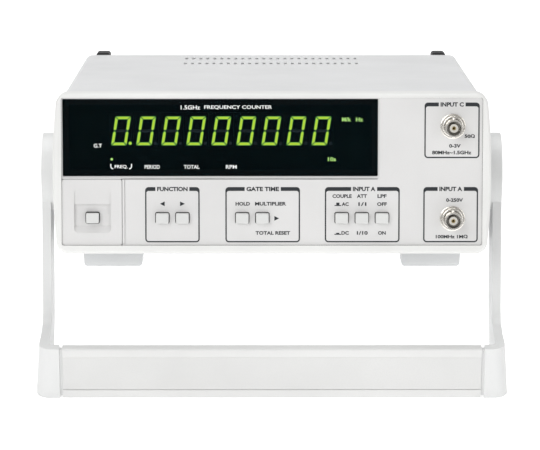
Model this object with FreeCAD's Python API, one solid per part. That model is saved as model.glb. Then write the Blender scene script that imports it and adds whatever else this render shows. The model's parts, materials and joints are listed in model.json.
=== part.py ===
import FreeCAD, Part
import math
import os

from FreeCAD import Rotation, Vector

# Bench frequency counter with a swinging carrying handle that is also its stand.
# Every piece is drawn in the case's own frame: +X to the right of the front panel, +Y from the
# front rim towards the back, +Z up, with z = 0 at the bezel's underside. At the end the whole
# object is leaned back onto its rear feet and its handle, which is how it stands on a bench.

# ---------------------------------------------------------------- driving dimensions (mm)
# Case
case_width = 245.2
case_height = 92.1
case_depth = 275.0
sheet = 1.2
fit_gap = 0.15
over = 1.0
round_end_relief = 0.05

# Front bezel
bezel_depth = 16.0
bezel_bulge = 2.5
bezel_corner_radius = 7.0
bezel_wall = 3.0
rim_side = 2.7
rim_top = 2.7
rim_bottom = 5.0
rim_proud = 1.2
rim_rounding = 2.0
ledge_width = 2.6
ledge_thickness = 2.0
tongue_length = 5.0
tongue_thickness = 1.6

# Covers and rear panel
cover_side_inset = 2.8
cover_end_inset = 0.5
cover_corner_radius = 4.5
skirt_height = 14.0
rear_panel_thickness = 2.0
rear_panel_recess = 1.0
vent_count = 25
vent_pitch = 4.47
vent_width = 1.9
vent_length = 12.0
vent_rows_from_back = (28.0, 65.0)
rear_vent_count = 12
rear_vent_height = 26.0
frame_thickness = 1.5
frame_flange = 9.0

# Front panel and display window
panel_thickness = 4.0
panel_corner_radius = 1.2
window_width = 179.8
window_height = 44.4
window_margin = 0.5
window_thickness = 2.0
window_recess = 1.0
window_seat = 3.0
window_corner_radius = 0.8
groove_width = 0.5
groove_depth = 0.7

# Power corner of the panel
power_panel_width = 34.2
power_panel_gap = 1.7
power_panel_strip = 1.2
recess_width = 21.1
recess_base = 7.1
recess_headroom = 5.8
recess_shelf_height = 8.6
recess_shelf_depth = 0.9
recess_depth = 2.4
recess_ramp = 3.9
recess_corner_radius = 2.5
recess_from_left = 6.9

# Push buttons
button_width = 7.3
button_height = 5.8
button_corner_radius = 0.7
button_front_rounding = 0.5
button_proud = 4.0
button_gap = 0.5
button_flange = 0.9
button_flange_thickness = 1.2
button_stem = 4.0
button_row_height = 20.7
button_pitch = 11.5
latching_travel = 2.5
momentary_travel = 1.5
switch_size = 8.6
switch_length = 6.6
switch_setback = 8.2
switch_way_floor = 1.0
switch_board_margin = 7.7
stem_gap = 0.2
board_thickness = 1.6
power_switch_length = 24.0

# Display
digit_count = 9
digit_pitch = 14.29
digit_width = 14.0
digit_height = 21.0
digit_depth = 8.0
digit_from_window = 33.3
digit_below_window_top = 18.7
mask_thickness = 2.0
mask_clearance = 0.4
lamp_width = 5.0
lamp_height = 2.6
lamp_row_drop = 5.8
unit_lamp_rise = 6.5
unit_lamps = (14.3, 21.7)
function_lamps = (-5.4, 12.3, 34.8, 57.4)
gate_lamp = 6.0

# Input jacks
jack_radius = 4.8
jack_length = 10.5
jack_nose_length = 4.4
jack_relief = 0.2
jack_wall = 0.75
jack_bore_depth = 9.0
jack_collar_radius = 6.6
jack_collar_thickness = 2.2
jack_tail_length = 12.0
jack_tail_radius = 3.2
jack_nut_radius = 7.25
jack_nut_thickness = 2.4
jack_hole_gap = 0.1
lug_radius = 1.0
lug_proud = 0.85
lug_from_tip = 5.6
insulator_radius = 2.45
insulator_short = 1.2
contact_short = 1.8
contact_radius = 1.15
contact_bore_radius = 0.65
contact_bore_depth = 6.0
contact_tail = 3.0
jack_from_right = 16.9
lower_jack_height = 20.3
upper_jack_from_top = 16.2

# Feet and cord posts
foot_width = 34.5
foot_length = 20.0
foot_height = 11.2
foot_draft = 0.5
foot_rounding = 2.4
foot_from_side = 28.0
foot_screw_radius = 2.0
foot_screw_head_radius = 4.0
foot_screw_head_height = 2.2
foot_screw_sink = 1.0
foot_screw_past_cover = 2.0
front_foot_gap = 8.0
rear_foot_from_back = 39.0
post_width = 9.0
post_height = 24.0
post_length = 18.0
post_rounding = 2.0
post_from_side = 11.4
post_above_cover = 1.5
lower_post_height = 6.0
post_screw_radius = 2.6
post_screw_depth = 2.4
post_screw_head_height = 1.7
post_screw_past_panel = 3.0

# Mains inlet and fuse drawer
inlet_from_middle = 74.0
inlet_centre_height = 52.0
inlet_width = 28.0
inlet_height = 34.0
inlet_flange = 3.0
inlet_flange_thickness = 2.5
inlet_body_depth = 26.0
socket_width = 24.4
socket_height = 16.6
socket_depth = 16.0
socket_corner_radius = 3.5
pin_width = 2.0
pin_height = 4.0
pin_length = 14.0
pin_spread = 7.0
pin_offset = 2.0
drawer_width = 21.0
drawer_height = 7.0
drawer_depth = 22.0
drawer_gap = 0.3
drawer_lip = 2.4
drawer_lip_thickness = 1.6
drawer_end_wall = 2.0
drawer_trough_radius = 2.9

# Inside the case
main_board_height = 10.0
main_board_side_gap = 9.8
main_board_front = 40.0
main_board_rear_gap = 12.0
standoff_radius = 3.0
standoff_edge = 8.0
transformer_width = 58.0
transformer_depth = 34.0
transformer_height = 48.0
core_leg = 10.0
winding_overhang = 9.0
capacitor_radius = 11.0
capacitor_height = 34.0
capacitor_pitch = 26.4
capacitor_clearance = 4.0
sink_width = 60.0
sink_height = 38.0
sink_fin_count = 9
sink_fin_depth = 14.0
sink_base = 3.0
sink_fin_thickness = 1.8
oscillator_size = (36.0, 28.0, 20.0)
oscillator_from_board_front = 78.0
shield_width = 54.0
shield_height = 24.0
shield_wall = 0.8
input_shield_depth = 60.0
prescaler_shield_depth = 30.0
shield_spacing = 6.0
regulator_size = (10.0, 4.5, 15.0)
regulator_count = 3
chip_height = 3.4
# left edge, distance from the board's front, width and depth of each package
chips = ((-40, 30, 18, 40), (-8, 34, 20, 20), (-10, 72, 12, 24), (-20, 110, 24, 10),
         (12, 78, 14, 14))
cover_screw_radius = 1.5
cover_screw_head_radius = 3.2
cover_screw_head_height = 1.2
cover_screw_height = 10.5
cover_screw_ends = (77.0, 27.0)

# Handle
pivot_behind_bezel = 34.0
pivot_height = 42.0
arm_clearance = 3.1
strap_thickness = 5.2
strap_width = 31.3
head_radius = 22.5
head_gap = 0.3
hub_base_radius = 20.0
hub_base_thickness = 3.1
hub_stub_radius = 9.0
spigot_radius = 7.95
pivot_clearance = 0.05
spigot_past_floor = 0.4
pocket_radius = 13.0
pocket_depth = 5.2
cap_radius = 17.0
cap_gap = 0.1
cap_thickness = 2.0
cap_seat_depth = 1.6
cap_chamfer = 0.3
hub_screw_radius = 2.5
hub_screw_flange_radius = 10.0
hub_screw_flange_thickness = 1.0
hub_screw_head_radius = 4.2
hub_screw_head_height = 2.0
hub_nut_thickness = 4.0
hub_nut_radius = 5.0
arm_drop = 77.3
bend_radius = 11.0
end_reach = 31.0
corner_radius = 8.0
corner_length = 20.0
corner_wall = 6.5
corner_flare = 0.5
corner_draft = 2.1
corner_return = 11.4
corner_inner_radius = 2.0
neck_gap = 1.7
neck_inset = 1.2
tenon_length = 16.0
grip_wall = 1.3
tenon_gap = 0.15
grip_rail = 5.2
grip_insert_depth = 1.2
grip_insert_thickness = 0.9
grip_rounding = 1.1
grip_screw_radius = 1.6
grip_screw_head_radius = 2.8
grip_screw_head_height = 1.0
grip_screw_gap = 0.05

# Driver recess in the visible screws: slot width, depth and reach as a share of the head
driver_slot = 0.8
driver_depth = 0.7
driver_reach = 0.62

# ---------------------------------------------------------------- worked out from them
X = Vector(1, 0, 0)
Y = Vector(0, 1, 0)
Z = Vector(0, 0, 1)

half_width = case_width / 2
panel_half = half_width - rim_side
panel_top = case_height - rim_top
panel_bottom = rim_bottom
panel_front = rim_proud
panel_back = panel_front + panel_thickness
cover_half = half_width - cover_side_inset
cover_top = case_height - cover_end_inset
cover_bottom = cover_end_inset
rear_face = case_depth - rear_panel_recess
rear_inner = rear_face - rear_panel_thickness

window_left = -panel_half + window_margin
window_right = window_left + window_width
window_top = panel_top - window_margin
window_bottom = window_top - window_height
window_front = panel_front + window_recess
window_back = window_front + window_thickness

power_right = -panel_half + power_panel_width
power_top = window_bottom - power_panel_gap
recess_left = -panel_half + recess_from_left
recess_right = recess_left + recess_width
recess_bottom = panel_bottom + recess_base
recess_top = power_top - recess_headroom
power_button_x = (recess_left + recess_right) / 2
power_floor = panel_front + recess_depth

jack_x = panel_half - jack_from_right
jack_tip = panel_front - jack_nut_thickness - jack_length
jack_bush_radius = jack_radius - jack_relief
jack_bore_radius = jack_radius - jack_wall
jack_back = panel_back + jack_collar_thickness + jack_tail_length
upper_jack_height = panel_top - upper_jack_from_top

digit_first_x = window_left + digit_from_window
digit_centre_height = window_top - digit_below_window_top

button_groups = (
    (-62.6, ("function_left_button", "function_right_button"), momentary_travel),
    (-17.0, ("gate_hold_button", "gate_multiplier_button"), momentary_travel),
    (39.8, ("coupling_button", "attenuator_button", "low_pass_button"), latching_travel),
)
switch_front = panel_back + switch_setback
switch_board_front = switch_front + switch_length

foot_bottom = cover_bottom - foot_height
front_foot_y = bezel_depth + front_foot_gap
rear_foot_y = case_depth - rear_foot_from_back
foot_centre_x = cover_half - foot_from_side
post_centre_x = cover_half - post_from_side

pivot_depth = bezel_depth + pivot_behind_bezel
handle_inner = half_width + bezel_bulge + arm_clearance
handle_outer = handle_inner + strap_thickness
hub_base_outer = cover_half + hub_base_thickness
head_inner = hub_base_outer + head_gap
cap_seat = handle_outer - cap_seat_depth
pocket_floor = cap_seat - pocket_depth + cap_seat_depth
spigot_end = pocket_floor + spigot_past_floor
frame_outer = cover_half - sheet - fit_gap
frame_inner = frame_outer - frame_thickness
main_board_half = frame_inner - main_board_side_gap
cover_screw_depths = (cover_screw_ends[0], case_depth - cover_screw_ends[1])

# The arms hang square to the case. The bend is what lays the end of the handle flat on the bench
# while the heel of each rear foot touches the bench too, so the lean follows from those two.
bend_centre_y = pivot_depth - strap_width / 2 - bend_radius
bend_centre_z = pivot_height - arm_drop
bend_outer = bend_radius + strap_width
heel_y = rear_foot_y + foot_length
to_heel_y = heel_y - bend_centre_y
to_heel_z = foot_bottom - bend_centre_z
lean = math.atan2(to_heel_z, to_heel_y) + math.asin(bend_outer / math.hypot(to_heel_y, to_heel_z))
forward = Vector(0, -math.cos(lean), -math.sin(lean))
upward = Vector(0, -math.sin(lean), math.cos(lean))
bend_exit = Vector(0, bend_centre_y, bend_centre_z) - upward * (bend_radius + strap_width / 2)
grip_front = bend_exit + forward * end_reach


# ---------------------------------------------------------------- building helpers
def block(x0, x1, y0, y1, z0, z1):
    """A box between two corners."""
    return Part.makeBox(x1 - x0, y1 - y0, z1 - z0, Vector(x0, y0, z0))


def rod(start, axis, radius, length):
    """A cylinder from a point along an axis."""
    return Part.makeCylinder(radius, length, start, axis)


def joined(shapes):
    """One solid from pieces that meet."""
    first, *rest = shapes
    whole = first.fuse(rest).removeSplitter()
    return whole.Solids[0] if len(whole.Solids) == 1 else whole


def group(shapes):
    """Separate solids that share one node."""
    return Part.makeCompound([solid for shape in shapes for solid in shape.Solids])


def mirrored(shape):
    """The same piece on the other side of the case."""
    return shape.mirror(Vector(0, 0, 0), X)


def edges_along(shape, axis):
    """The straight edges parallel to an axis."""
    found = []
    for edge in shape.Edges:
        if edge.Curve.TypeId != "Part::GeomLine":
            continue
        step = edge.Vertexes[-1].Point - edge.Vertexes[0].Point
        if step.Length > 1e-6 and abs(abs(step.normalize().dot(axis)) - 1) < 1e-6:
            found.append(edge)
    return found


def slab(x0, x1, z0, z1, y0, y1, radius):
    """A plate square to Y with rounded corners."""
    plate = block(x0, x1, y0, y1, z0, z1)
    return plate.makeFillet(radius, edges_along(plate, Y))


def front_edges(shape, y):
    """The edges that lie in the plane at a depth y."""
    return [edge for edge in shape.Edges
            if abs(edge.BoundBox.YMin - y) < 1e-6 and abs(edge.BoundBox.YMax - y) < 1e-6]


def cross_recess(face, inward, head_radius):
    """The two crossed slots of a driver's recess, sunk from a point on a head's face."""
    reach = head_radius * driver_reach
    slots = []
    for half_x, half_y in ((reach, driver_slot / 2), (driver_slot / 2, reach)):
        slot = block(-half_x, half_x, -half_y, half_y, -driver_depth, driver_depth)
        slot.Placement = FreeCAD.Placement(face, Rotation(Z, inward))
        slots.append(slot)
    return slots


def turned_about_x(shape):
    """A piece drawn along the handle's end, placed at the end of its bend.

    It is drawn with +Y forward along the end, +Z up it, and the origin at the end's start.
    """
    placed = shape.copy()
    placed.rotate(Vector(0, 0, 0), Z, 180)
    placed.rotate(Vector(0, 0, 0), X, math.degrees(lean))
    placed.translate(bend_exit)
    return placed


# ---------------------------------------------------------------- case
def bezel_blank(inset, y0, y1):
    """The bezel's outline, pulled in by an inset, as a solid between two depths."""
    reach = half_width + bezel_bulge - inset
    middle = case_height / 2
    side_radius = (middle ** 2 + bezel_bulge ** 2) / (2 * bezel_bulge)
    body = block(-reach, reach, y0, y1, inset, case_height - inset)
    for side in (-1, 1):
        centre = Vector(side * (half_width + bezel_bulge - side_radius), y0, middle)
        body = body.common(rod(centre, Y, side_radius - inset, y1 - y0))
    radius = bezel_corner_radius - inset
    return body.makeFillet(radius, edges_along(body, Y))


def front_bezel():
    """Moulded surround with a proud rim, a ledge for the panel and a tongue for the covers."""
    body = bezel_blank(0, 0, bezel_depth)
    body = body.makeFillet(rim_rounding, front_edges(body, 0))
    tongue_half = cover_half - sheet - fit_gap
    tongue_top = cover_top - sheet - fit_gap
    tongue_bottom = cover_bottom + sheet + fit_gap
    tongue = slab(-tongue_half, tongue_half, tongue_bottom, tongue_top,
                  bezel_depth - bezel_wall, bezel_depth + tongue_length,
                  cover_corner_radius - sheet - fit_gap)
    seat = slab(-panel_half - fit_gap, panel_half + fit_gap, panel_bottom - fit_gap,
                panel_top + fit_gap, -over, panel_back, panel_corner_radius)
    throat = slab(-panel_half + ledge_width, panel_half - ledge_width,
                  panel_bottom + ledge_width, panel_top - ledge_width,
                  panel_back - over, panel_back + ledge_thickness + over, panel_corner_radius)
    hollow = slab(-tongue_half + tongue_thickness, tongue_half - tongue_thickness,
                  tongue_bottom + tongue_thickness, tongue_top - tongue_thickness,
                  panel_back + ledge_thickness, bezel_depth + tongue_length + over,
                  panel_corner_radius)
    return joined([body, tongue]).cut([seat, throat, hollow])


def button_opening(x, z):
    """The hole that a button's cap runs in."""
    half_x = button_width / 2 + button_gap
    half_z = button_height / 2 + button_gap
    return slab(x - half_x, x + half_x, z - half_z, z + half_z, panel_front - over,
                panel_back + over, button_corner_radius + button_gap)


def button_places():
    """Each button's name, place along the row and travel."""
    return [(name, first + index * button_pitch, travel)
            for first, names, travel in button_groups
            for index, name in enumerate(names)]


def frame_wire(x0, x1, z0, z1, y):
    """A rectangle in the plane at a depth y."""
    corners = [Vector(x0, y, z0), Vector(x1, y, z0), Vector(x1, y, z1), Vector(x0, y, z1)]
    return Part.makePolygon(corners + corners[:1])


def window_flare():
    """The cut that bevels the pocket's right side and underside in front of the window."""
    mouth = frame_wire(window_left, window_right + window_recess, window_bottom - window_recess,
                       window_top, panel_front)
    floor = frame_wire(window_left, window_right, window_bottom, window_top, window_front)
    return Part.makeLoft([mouth, floor], True, True)


def front_panel():
    """Moulded panel with a pocket for the window and holes for buttons and jacks."""
    body = slab(-panel_half, panel_half, panel_bottom, panel_top, panel_front, panel_back,
                panel_corner_radius)
    pocket = slab(window_left, window_right, window_bottom, window_top, panel_front - over,
                  window_back, window_corner_radius)
    mouth = slab(window_left + window_seat, window_right - window_seat,
                 window_bottom + window_seat, window_top - window_seat,
                 panel_front - over, panel_back + over, window_corner_radius)
    notch = block(-panel_half - over, power_right + 2 * fit_gap, panel_front - over,
                  panel_back + over, panel_bottom - over, power_top + 2 * fit_gap)
    cuts = [pocket, mouth, window_flare(), notch]
    cuts += [button_opening(x, button_row_height) for _, x, _ in button_places()]
    for z in (lower_jack_height, upper_jack_height):
        cuts.append(rod(Vector(jack_x, panel_front - over, z), Y, jack_bush_radius + jack_hole_gap,
                        panel_thickness + 2 * over))
    groove_x = power_right + 2 * fit_gap + power_panel_strip
    groove_floor = panel_front + groove_depth
    cuts.append(block(power_right, window_right, panel_front - over, groove_floor, power_top,
                      power_top + groove_width))
    cuts.append(block(groove_x, groove_x + groove_width, panel_front - over, groove_floor,
                      panel_bottom + groove_width, power_top + groove_width))
    return body.cut(cuts)


def finger_recess():
    """Cut round the power button: a shallow shelf, a deep floor and a ramp at the bottom."""
    shelf = panel_front + recess_shelf_depth
    step = recess_top - recess_shelf_height
    steepness = recess_ramp / recess_depth
    profile = [(panel_front - over, recess_bottom - over * steepness),
               (power_floor, recess_bottom + recess_ramp), (power_floor, step), (shelf, step),
               (shelf, recess_top + over), (panel_front - over, recess_top + over)]
    corners = [Vector(recess_left - over, y, z) for y, z in profile]
    side = Part.Face(Part.makePolygon(corners + corners[:1]))
    outline = slab(recess_left, recess_right, recess_bottom, recess_top, panel_front - over,
                   power_floor, recess_corner_radius)
    return outline.common(side.extrude(X * (recess_width + 2 * over)))


def power_panel():
    """Separate moulded corner with a stepped finger recess round the power button."""
    body = slab(-panel_half, power_right, panel_bottom, power_top, panel_front, panel_back,
                panel_corner_radius)
    return body.cut([finger_recess(), button_opening(power_button_x, button_row_height)])


def display_window():
    """Smoked window, glued into the panel's pocket."""
    return slab(window_left + fit_gap, window_right - fit_gap, window_bottom + fit_gap,
                window_top - fit_gap, window_front, window_back,
                window_corner_radius - fit_gap)


def sleeve(half, bottom, top, y0, y1, wall, radius):
    """A tube of sheet along Y with rounded corners."""
    outer = slab(-half, half, bottom, top, y0, y1, radius)
    inner = slab(-half + wall, half - wall, bottom + wall, top - wall, y0 - 1, y1 + 1,
                 radius - wall)
    return outer.cut(inner)


def hub_holes(radius):
    """Round holes on the pivot's axis, right through the case."""
    return rod(Vector(-half_width, pivot_depth, pivot_height), X, radius, case_width)


def top_cover():
    """Folded sheet over the top and both sides, with two rows of vents near the back."""
    body = sleeve(cover_half, cover_bottom, cover_top, bezel_depth, case_depth, sheet,
                  cover_corner_radius)
    below = block(-case_width, case_width, -1, case_depth + over, cover_bottom - over,
                  cover_bottom + cover_corner_radius)
    cuts = [below, hub_holes(hub_stub_radius + fit_gap)]
    first = -(vent_count - 1) * vent_pitch / 2
    for from_back in vent_rows_from_back:
        y = case_depth - from_back
        for index in range(vent_count):
            x = first + index * vent_pitch
            slot = block(x - vent_width / 2, x + vent_width / 2, y - vent_length / 2,
                         y + vent_length / 2, cover_top - 2 * sheet, cover_top + over)
            cuts.append(slot.makeFillet(vent_width / 2 - round_end_relief, edges_along(slot, Z)))
    return body.cut(cuts)


def bottom_cover():
    """Folded sheet tray whose skirts stand inside the top cover."""
    inset = sheet + fit_gap
    body = block(-cover_half, cover_half, bezel_depth, case_depth, cover_bottom,
                 cover_bottom + sheet)
    skirts = []
    for side in (-1, 1):
        outer = side * (frame_inner - fit_gap)
        inner = outer - side * sheet
        skirts.append(block(min(outer, inner), max(outer, inner),
                            bezel_depth + tongue_length + inset, rear_inner - inset,
                            cover_bottom, cover_bottom + skirt_height))
    places = foot_places(front_foot_y) + foot_places(rear_foot_y)
    holes = [rod(Vector(x, y + foot_length / 2, cover_bottom - over), Z,
                 foot_screw_radius + fit_gap, sheet + 2 * over) for x, y in places]
    return joined([body] + skirts).cut(holes)


def side_frame():
    """Right-hand frame plate that ties the bezel, rear panel and handle hub together."""
    y0 = bezel_depth + tongue_length + 2 * fit_gap
    bottom = cover_bottom + sheet + 2 * fit_gap
    top = cover_top - sheet - 2 * fit_gap
    corner = cover_corner_radius - sheet
    plate = block(frame_inner, frame_outer, y0, rear_inner - fit_gap, bottom + corner,
                  top - corner)
    flange = block(frame_outer - frame_flange, frame_outer, y0, rear_inner - fit_gap,
                   top - corner - frame_thickness, top - corner)
    hole = rod(pivot_at(0), X, hub_screw_radius + fit_gap, case_width)
    return joined([plate, flange]).cut(hole)


def rear_panel():
    """Rear plate with the inlet's cut-out and a row of vents."""
    inset = sheet + fit_gap
    body = slab(-cover_half + inset, cover_half - inset, cover_bottom + inset,
                cover_top - inset, rear_inner, rear_face, cover_corner_radius - inset)
    half_w = inlet_width / 2 + fit_gap
    half_h = inlet_height / 2 + fit_gap
    cuts = [block(inlet_from_middle - half_w, inlet_from_middle + half_w, rear_inner - over,
                  rear_face + over, inlet_centre_height - half_h, inlet_centre_height + half_h)]
    middle = case_height / 2
    for index in range(rear_vent_count):
        x = -index * 2 * vent_pitch
        cuts.append(slab(x - vent_width / 2, x + vent_width / 2, middle - rear_vent_height / 2,
                         middle + rear_vent_height / 2, rear_inner - over, rear_face + over,
                         vent_width / 2 - round_end_relief))
    for x, z in post_places():
        cuts.append(rod(Vector(x, rear_inner - over, z), Y, post_screw_radius / 2 + fit_gap,
                        rear_panel_thickness + 2 * over))
    return body.cut(cuts)


# ---------------------------------------------------------------- buttons, display and jacks
def button(x, front, cap_bottom_y):
    """A cap with a retaining flange and a stem that enters its switch."""
    half_x = button_width / 2
    half_z = button_height / 2
    cap = slab(x - half_x, x + half_x, button_row_height - half_z, button_row_height + half_z,
               front, cap_bottom_y, button_corner_radius)
    cap = cap.makeFillet(button_front_rounding, front_edges(cap, front))
    flange = slab(x - half_x - button_flange, x + half_x + button_flange,
                  button_row_height - half_z - button_flange,
                  button_row_height + half_z + button_flange,
                  cap_bottom_y, cap_bottom_y + button_flange_thickness, button_corner_radius)
    stem = block(x - button_stem / 2, x + button_stem / 2, cap_bottom_y,
                 switch_front + button_stem / 2, button_row_height - button_stem / 2,
                 button_row_height + button_stem / 2)
    return joined([cap, flange, stem])


def switch_body(x, length):
    """A push switch with a square way for the button's stem."""
    half = switch_size / 2
    way = button_stem / 2 + stem_gap
    body = block(x - half, x + half, switch_front, switch_front + length,
                 button_row_height - half, button_row_height + half)
    room = block(x - way, x + way, switch_front - over,
                 switch_front + switch_length - switch_way_floor,
                 button_row_height - way, button_row_height + way)
    return body.cut(room)


def switch_board():
    """Board behind the row of buttons."""
    xs = [x for _, x, _ in button_places()]
    return block(min(xs) - switch_size, max(xs) + switch_size, switch_board_front,
                 switch_board_front + board_thickness,
                 button_row_height - switch_size / 2 - switch_board_margin,
                 button_row_height + switch_size / 2 + switch_board_margin)


def digit_places():
    """Places of the digits across the window."""
    return [digit_first_x + index * digit_pitch for index in range(digit_count)]


def digit_front():
    """Depth of the digits' faces."""
    return panel_back + mask_clearance


def digit_blocks():
    """One moulded block per digit."""
    half_w = digit_width / 2
    low = digit_centre_height - digit_height / 2
    return [block(x - half_w, x + half_w, digit_front(), digit_front() + digit_depth,
                  low, low + digit_height) for x in digit_places()]


def lamp_places():
    """Places of the small legend lamps: two units, four functions and the gate."""
    last = digit_places()[-1]
    row = digit_centre_height - digit_height / 2 - lamp_row_drop
    units = [(last + offset, digit_centre_height + unit_lamp_rise) for offset in unit_lamps]
    functions = [(digit_first_x + offset, row) for offset in function_lamps]
    return units + functions + [(last + gate_lamp, row)]


def lamps():
    """Small rectangular lamps behind the legends."""
    made = []
    for x, z in lamp_places():
        made.append(block(x - lamp_width / 2, x + lamp_width / 2, digit_front(),
                          digit_front() + digit_depth, z - lamp_height / 2,
                          z + lamp_height / 2))
    return made


def display_mask():
    """Black mask that closes the space round the digits and the lamps."""
    body = slab(window_left + window_seat, window_right - window_seat,
                window_bottom + window_seat, window_top - window_seat,
                digit_front(), digit_front() + mask_thickness, window_corner_radius)
    xs = digit_places()
    low = digit_centre_height - digit_height / 2
    cuts = [block(xs[0] - digit_width / 2 - fit_gap, xs[-1] + digit_width / 2 + fit_gap,
                  panel_back - over, digit_front() + mask_thickness + over, low - fit_gap,
                  low + digit_height + fit_gap)]
    for x, z in lamp_places():
        cuts.append(block(x - lamp_width / 2 - fit_gap, x + lamp_width / 2 + fit_gap,
                          panel_back - over, digit_front() + mask_thickness + over,
                          z - lamp_height / 2 - fit_gap, z + lamp_height / 2 + fit_gap))
    return body.cut(cuts)


def display_board():
    """Board that carries the digits and the lamps."""
    front = digit_front() + digit_depth
    return block(window_left + window_seat, window_right - window_seat, front,
                 front + board_thickness, window_bottom + window_seat,
                 window_top - window_seat)


def jack_body(z):
    """Nickel shell: bored barrel with two bayonet lugs, a collar behind the panel and a tail."""
    tip = Vector(jack_x, jack_tip, z)
    nose = rod(tip, Y, jack_radius, jack_nose_length)
    barrel = rod(tip, Y, jack_bush_radius, panel_back - jack_tip)
    collar = rod(Vector(jack_x, panel_back, z), Y, jack_collar_radius, jack_collar_thickness)
    tail = rod(Vector(jack_x, panel_back, z), Y, jack_tail_radius, jack_back - panel_back)
    reach = jack_radius + lug_proud
    lug = rod(Vector(jack_x, jack_tip + lug_from_tip, z - reach), Z, lug_radius, 2 * reach)
    bore = rod(tip - Y, Y, jack_bore_radius, jack_bore_depth + over)
    core = rod(tip, Y, insulator_radius, jack_back - jack_tip + over)
    return joined([nose, barrel, collar, tail, lug]).cut([bore, core])


def jack_nut(z):
    """Round nut that clamps the jack to the panel's front."""
    y = panel_front - jack_nut_thickness
    nut = rod(Vector(jack_x, y, z), Y, jack_nut_radius, jack_nut_thickness)
    nut = nut.makeChamfer(jack_nut_thickness / 4, front_edges(nut, y))
    return nut.cut(rod(Vector(jack_x, y - over, z), Y, jack_bush_radius,
                       jack_nut_thickness + 2 * over))


def jack_insulator(z):
    """White insulator round the centre contact."""
    start = Vector(jack_x, jack_tip + insulator_short, z)
    length = jack_back - start.y
    body = rod(start, Y, insulator_radius, length)
    return body.cut(rod(start - Y, Y, contact_radius, length + 2 * over))


def jack_contact(z):
    """Centre contact with its socket."""
    start = Vector(jack_x, jack_tip + contact_short, z)
    body = rod(start, Y, contact_radius, jack_back + contact_tail - start.y)
    return body.cut(rod(start - Y, Y, contact_bore_radius, contact_bore_depth + over))


# ---------------------------------------------------------------- feet, posts and inlet
def foot(x, y):
    """Moulded foot that narrows downwards, with a hole for its screw."""
    half = foot_width / 2
    top = Part.makePolygon([Vector(x - half, y, cover_bottom),
                            Vector(x + half, y, cover_bottom),
                            Vector(x + half, y + foot_length, cover_bottom),
                            Vector(x - half, y + foot_length, cover_bottom),
                            Vector(x - half, y, cover_bottom)])
    half -= foot_draft
    bottom = Part.makePolygon([Vector(x - half, y + foot_draft, foot_bottom),
                               Vector(x + half, y + foot_draft, foot_bottom),
                               Vector(x + half, y + foot_length, foot_bottom),
                               Vector(x - half, y + foot_length, foot_bottom),
                               Vector(x - half, y + foot_draft, foot_bottom)])
    body = Part.makeLoft([top, bottom], True, True)
    low = [edge for edge in body.Edges if edge.BoundBox.ZMax < foot_bottom + 1e-6
           and edge.BoundBox.YMin < y + foot_length - 1e-3]
    body = body.makeFillet(foot_rounding, low)
    centre = Vector(x, y + foot_length / 2, foot_bottom - over)
    hole = rod(centre, Z, foot_screw_radius, foot_height + 2 * over)
    head = rod(centre, Z, foot_screw_head_radius + fit_gap,
               over + foot_screw_sink + foot_screw_head_height)
    return body.cut([hole, head])


def foot_screw(x, y):
    """Screw up through a foot into the bottom cover."""
    centre = Vector(x, y + foot_length / 2, foot_bottom + foot_screw_sink)
    head = rod(centre, Z, foot_screw_head_radius, foot_screw_head_height)
    shank = rod(centre, Z, foot_screw_radius, foot_height + sheet + foot_screw_past_cover)
    return joined([head, shank]).cut(cross_recess(centre, Z, foot_screw_head_radius))


def foot_places(y):
    """A left and a right foot at a depth."""
    return [(-foot_centre_x, y), (foot_centre_x, y)]


def post_places():
    """The four cord posts' centres on the rear panel."""
    upper = cover_top + post_above_cover - post_height / 2
    lower = lower_post_height + post_height / 2
    return [(side * post_centre_x, z) for side in (-1, 1) for z in (lower, upper)]


def cord_post(x, z):
    """Rubbery post that the cord winds round and that guards the back."""
    body = slab(x - post_width / 2, x + post_width / 2, z - post_height / 2,
                z + post_height / 2, rear_face, rear_face + post_length, post_rounding)
    end = rear_face + post_length
    body = body.makeFillet(post_rounding / 2, front_edges(body, end))
    if z > case_height / 2:
        lip = block(x - post_width, x + post_width, rear_face - over, case_depth + fit_gap,
                    cover_top - sheet - fit_gap, cover_top + 2 * post_above_cover)
        body = body.cut(lip)
    sink = rod(Vector(x, end - post_screw_depth, z), Y, post_screw_radius + fit_gap,
               post_screw_depth + over)
    way = rod(Vector(x, rear_face - over, z), Y, post_screw_radius / 2, post_length + over)
    return body.cut([sink, way])


def post_screw(x, z):
    """Screw through a post into the rear panel."""
    end = rear_face + post_length
    seat = end - post_screw_depth
    start = rear_inner - post_screw_past_panel
    head = rod(Vector(x, seat, z), Y, post_screw_radius, post_screw_head_height)
    shank = rod(Vector(x, start, z), Y, post_screw_radius / 2, seat - start)
    face = Vector(x, seat + post_screw_head_height, z)
    return joined([head, shank]).cut(cross_recess(face, -Y, post_screw_radius))


def inlet_parts():
    """Centre heights of the socket and of the fuse drawer inside the inlet."""
    spare = inlet_height - socket_height - drawer_height
    socket = inlet_centre_height + inlet_height / 2 - spare / 3 - socket_height / 2
    drawer = inlet_centre_height - inlet_height / 2 + spare / 3 + drawer_height / 2
    return socket, drawer


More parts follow.
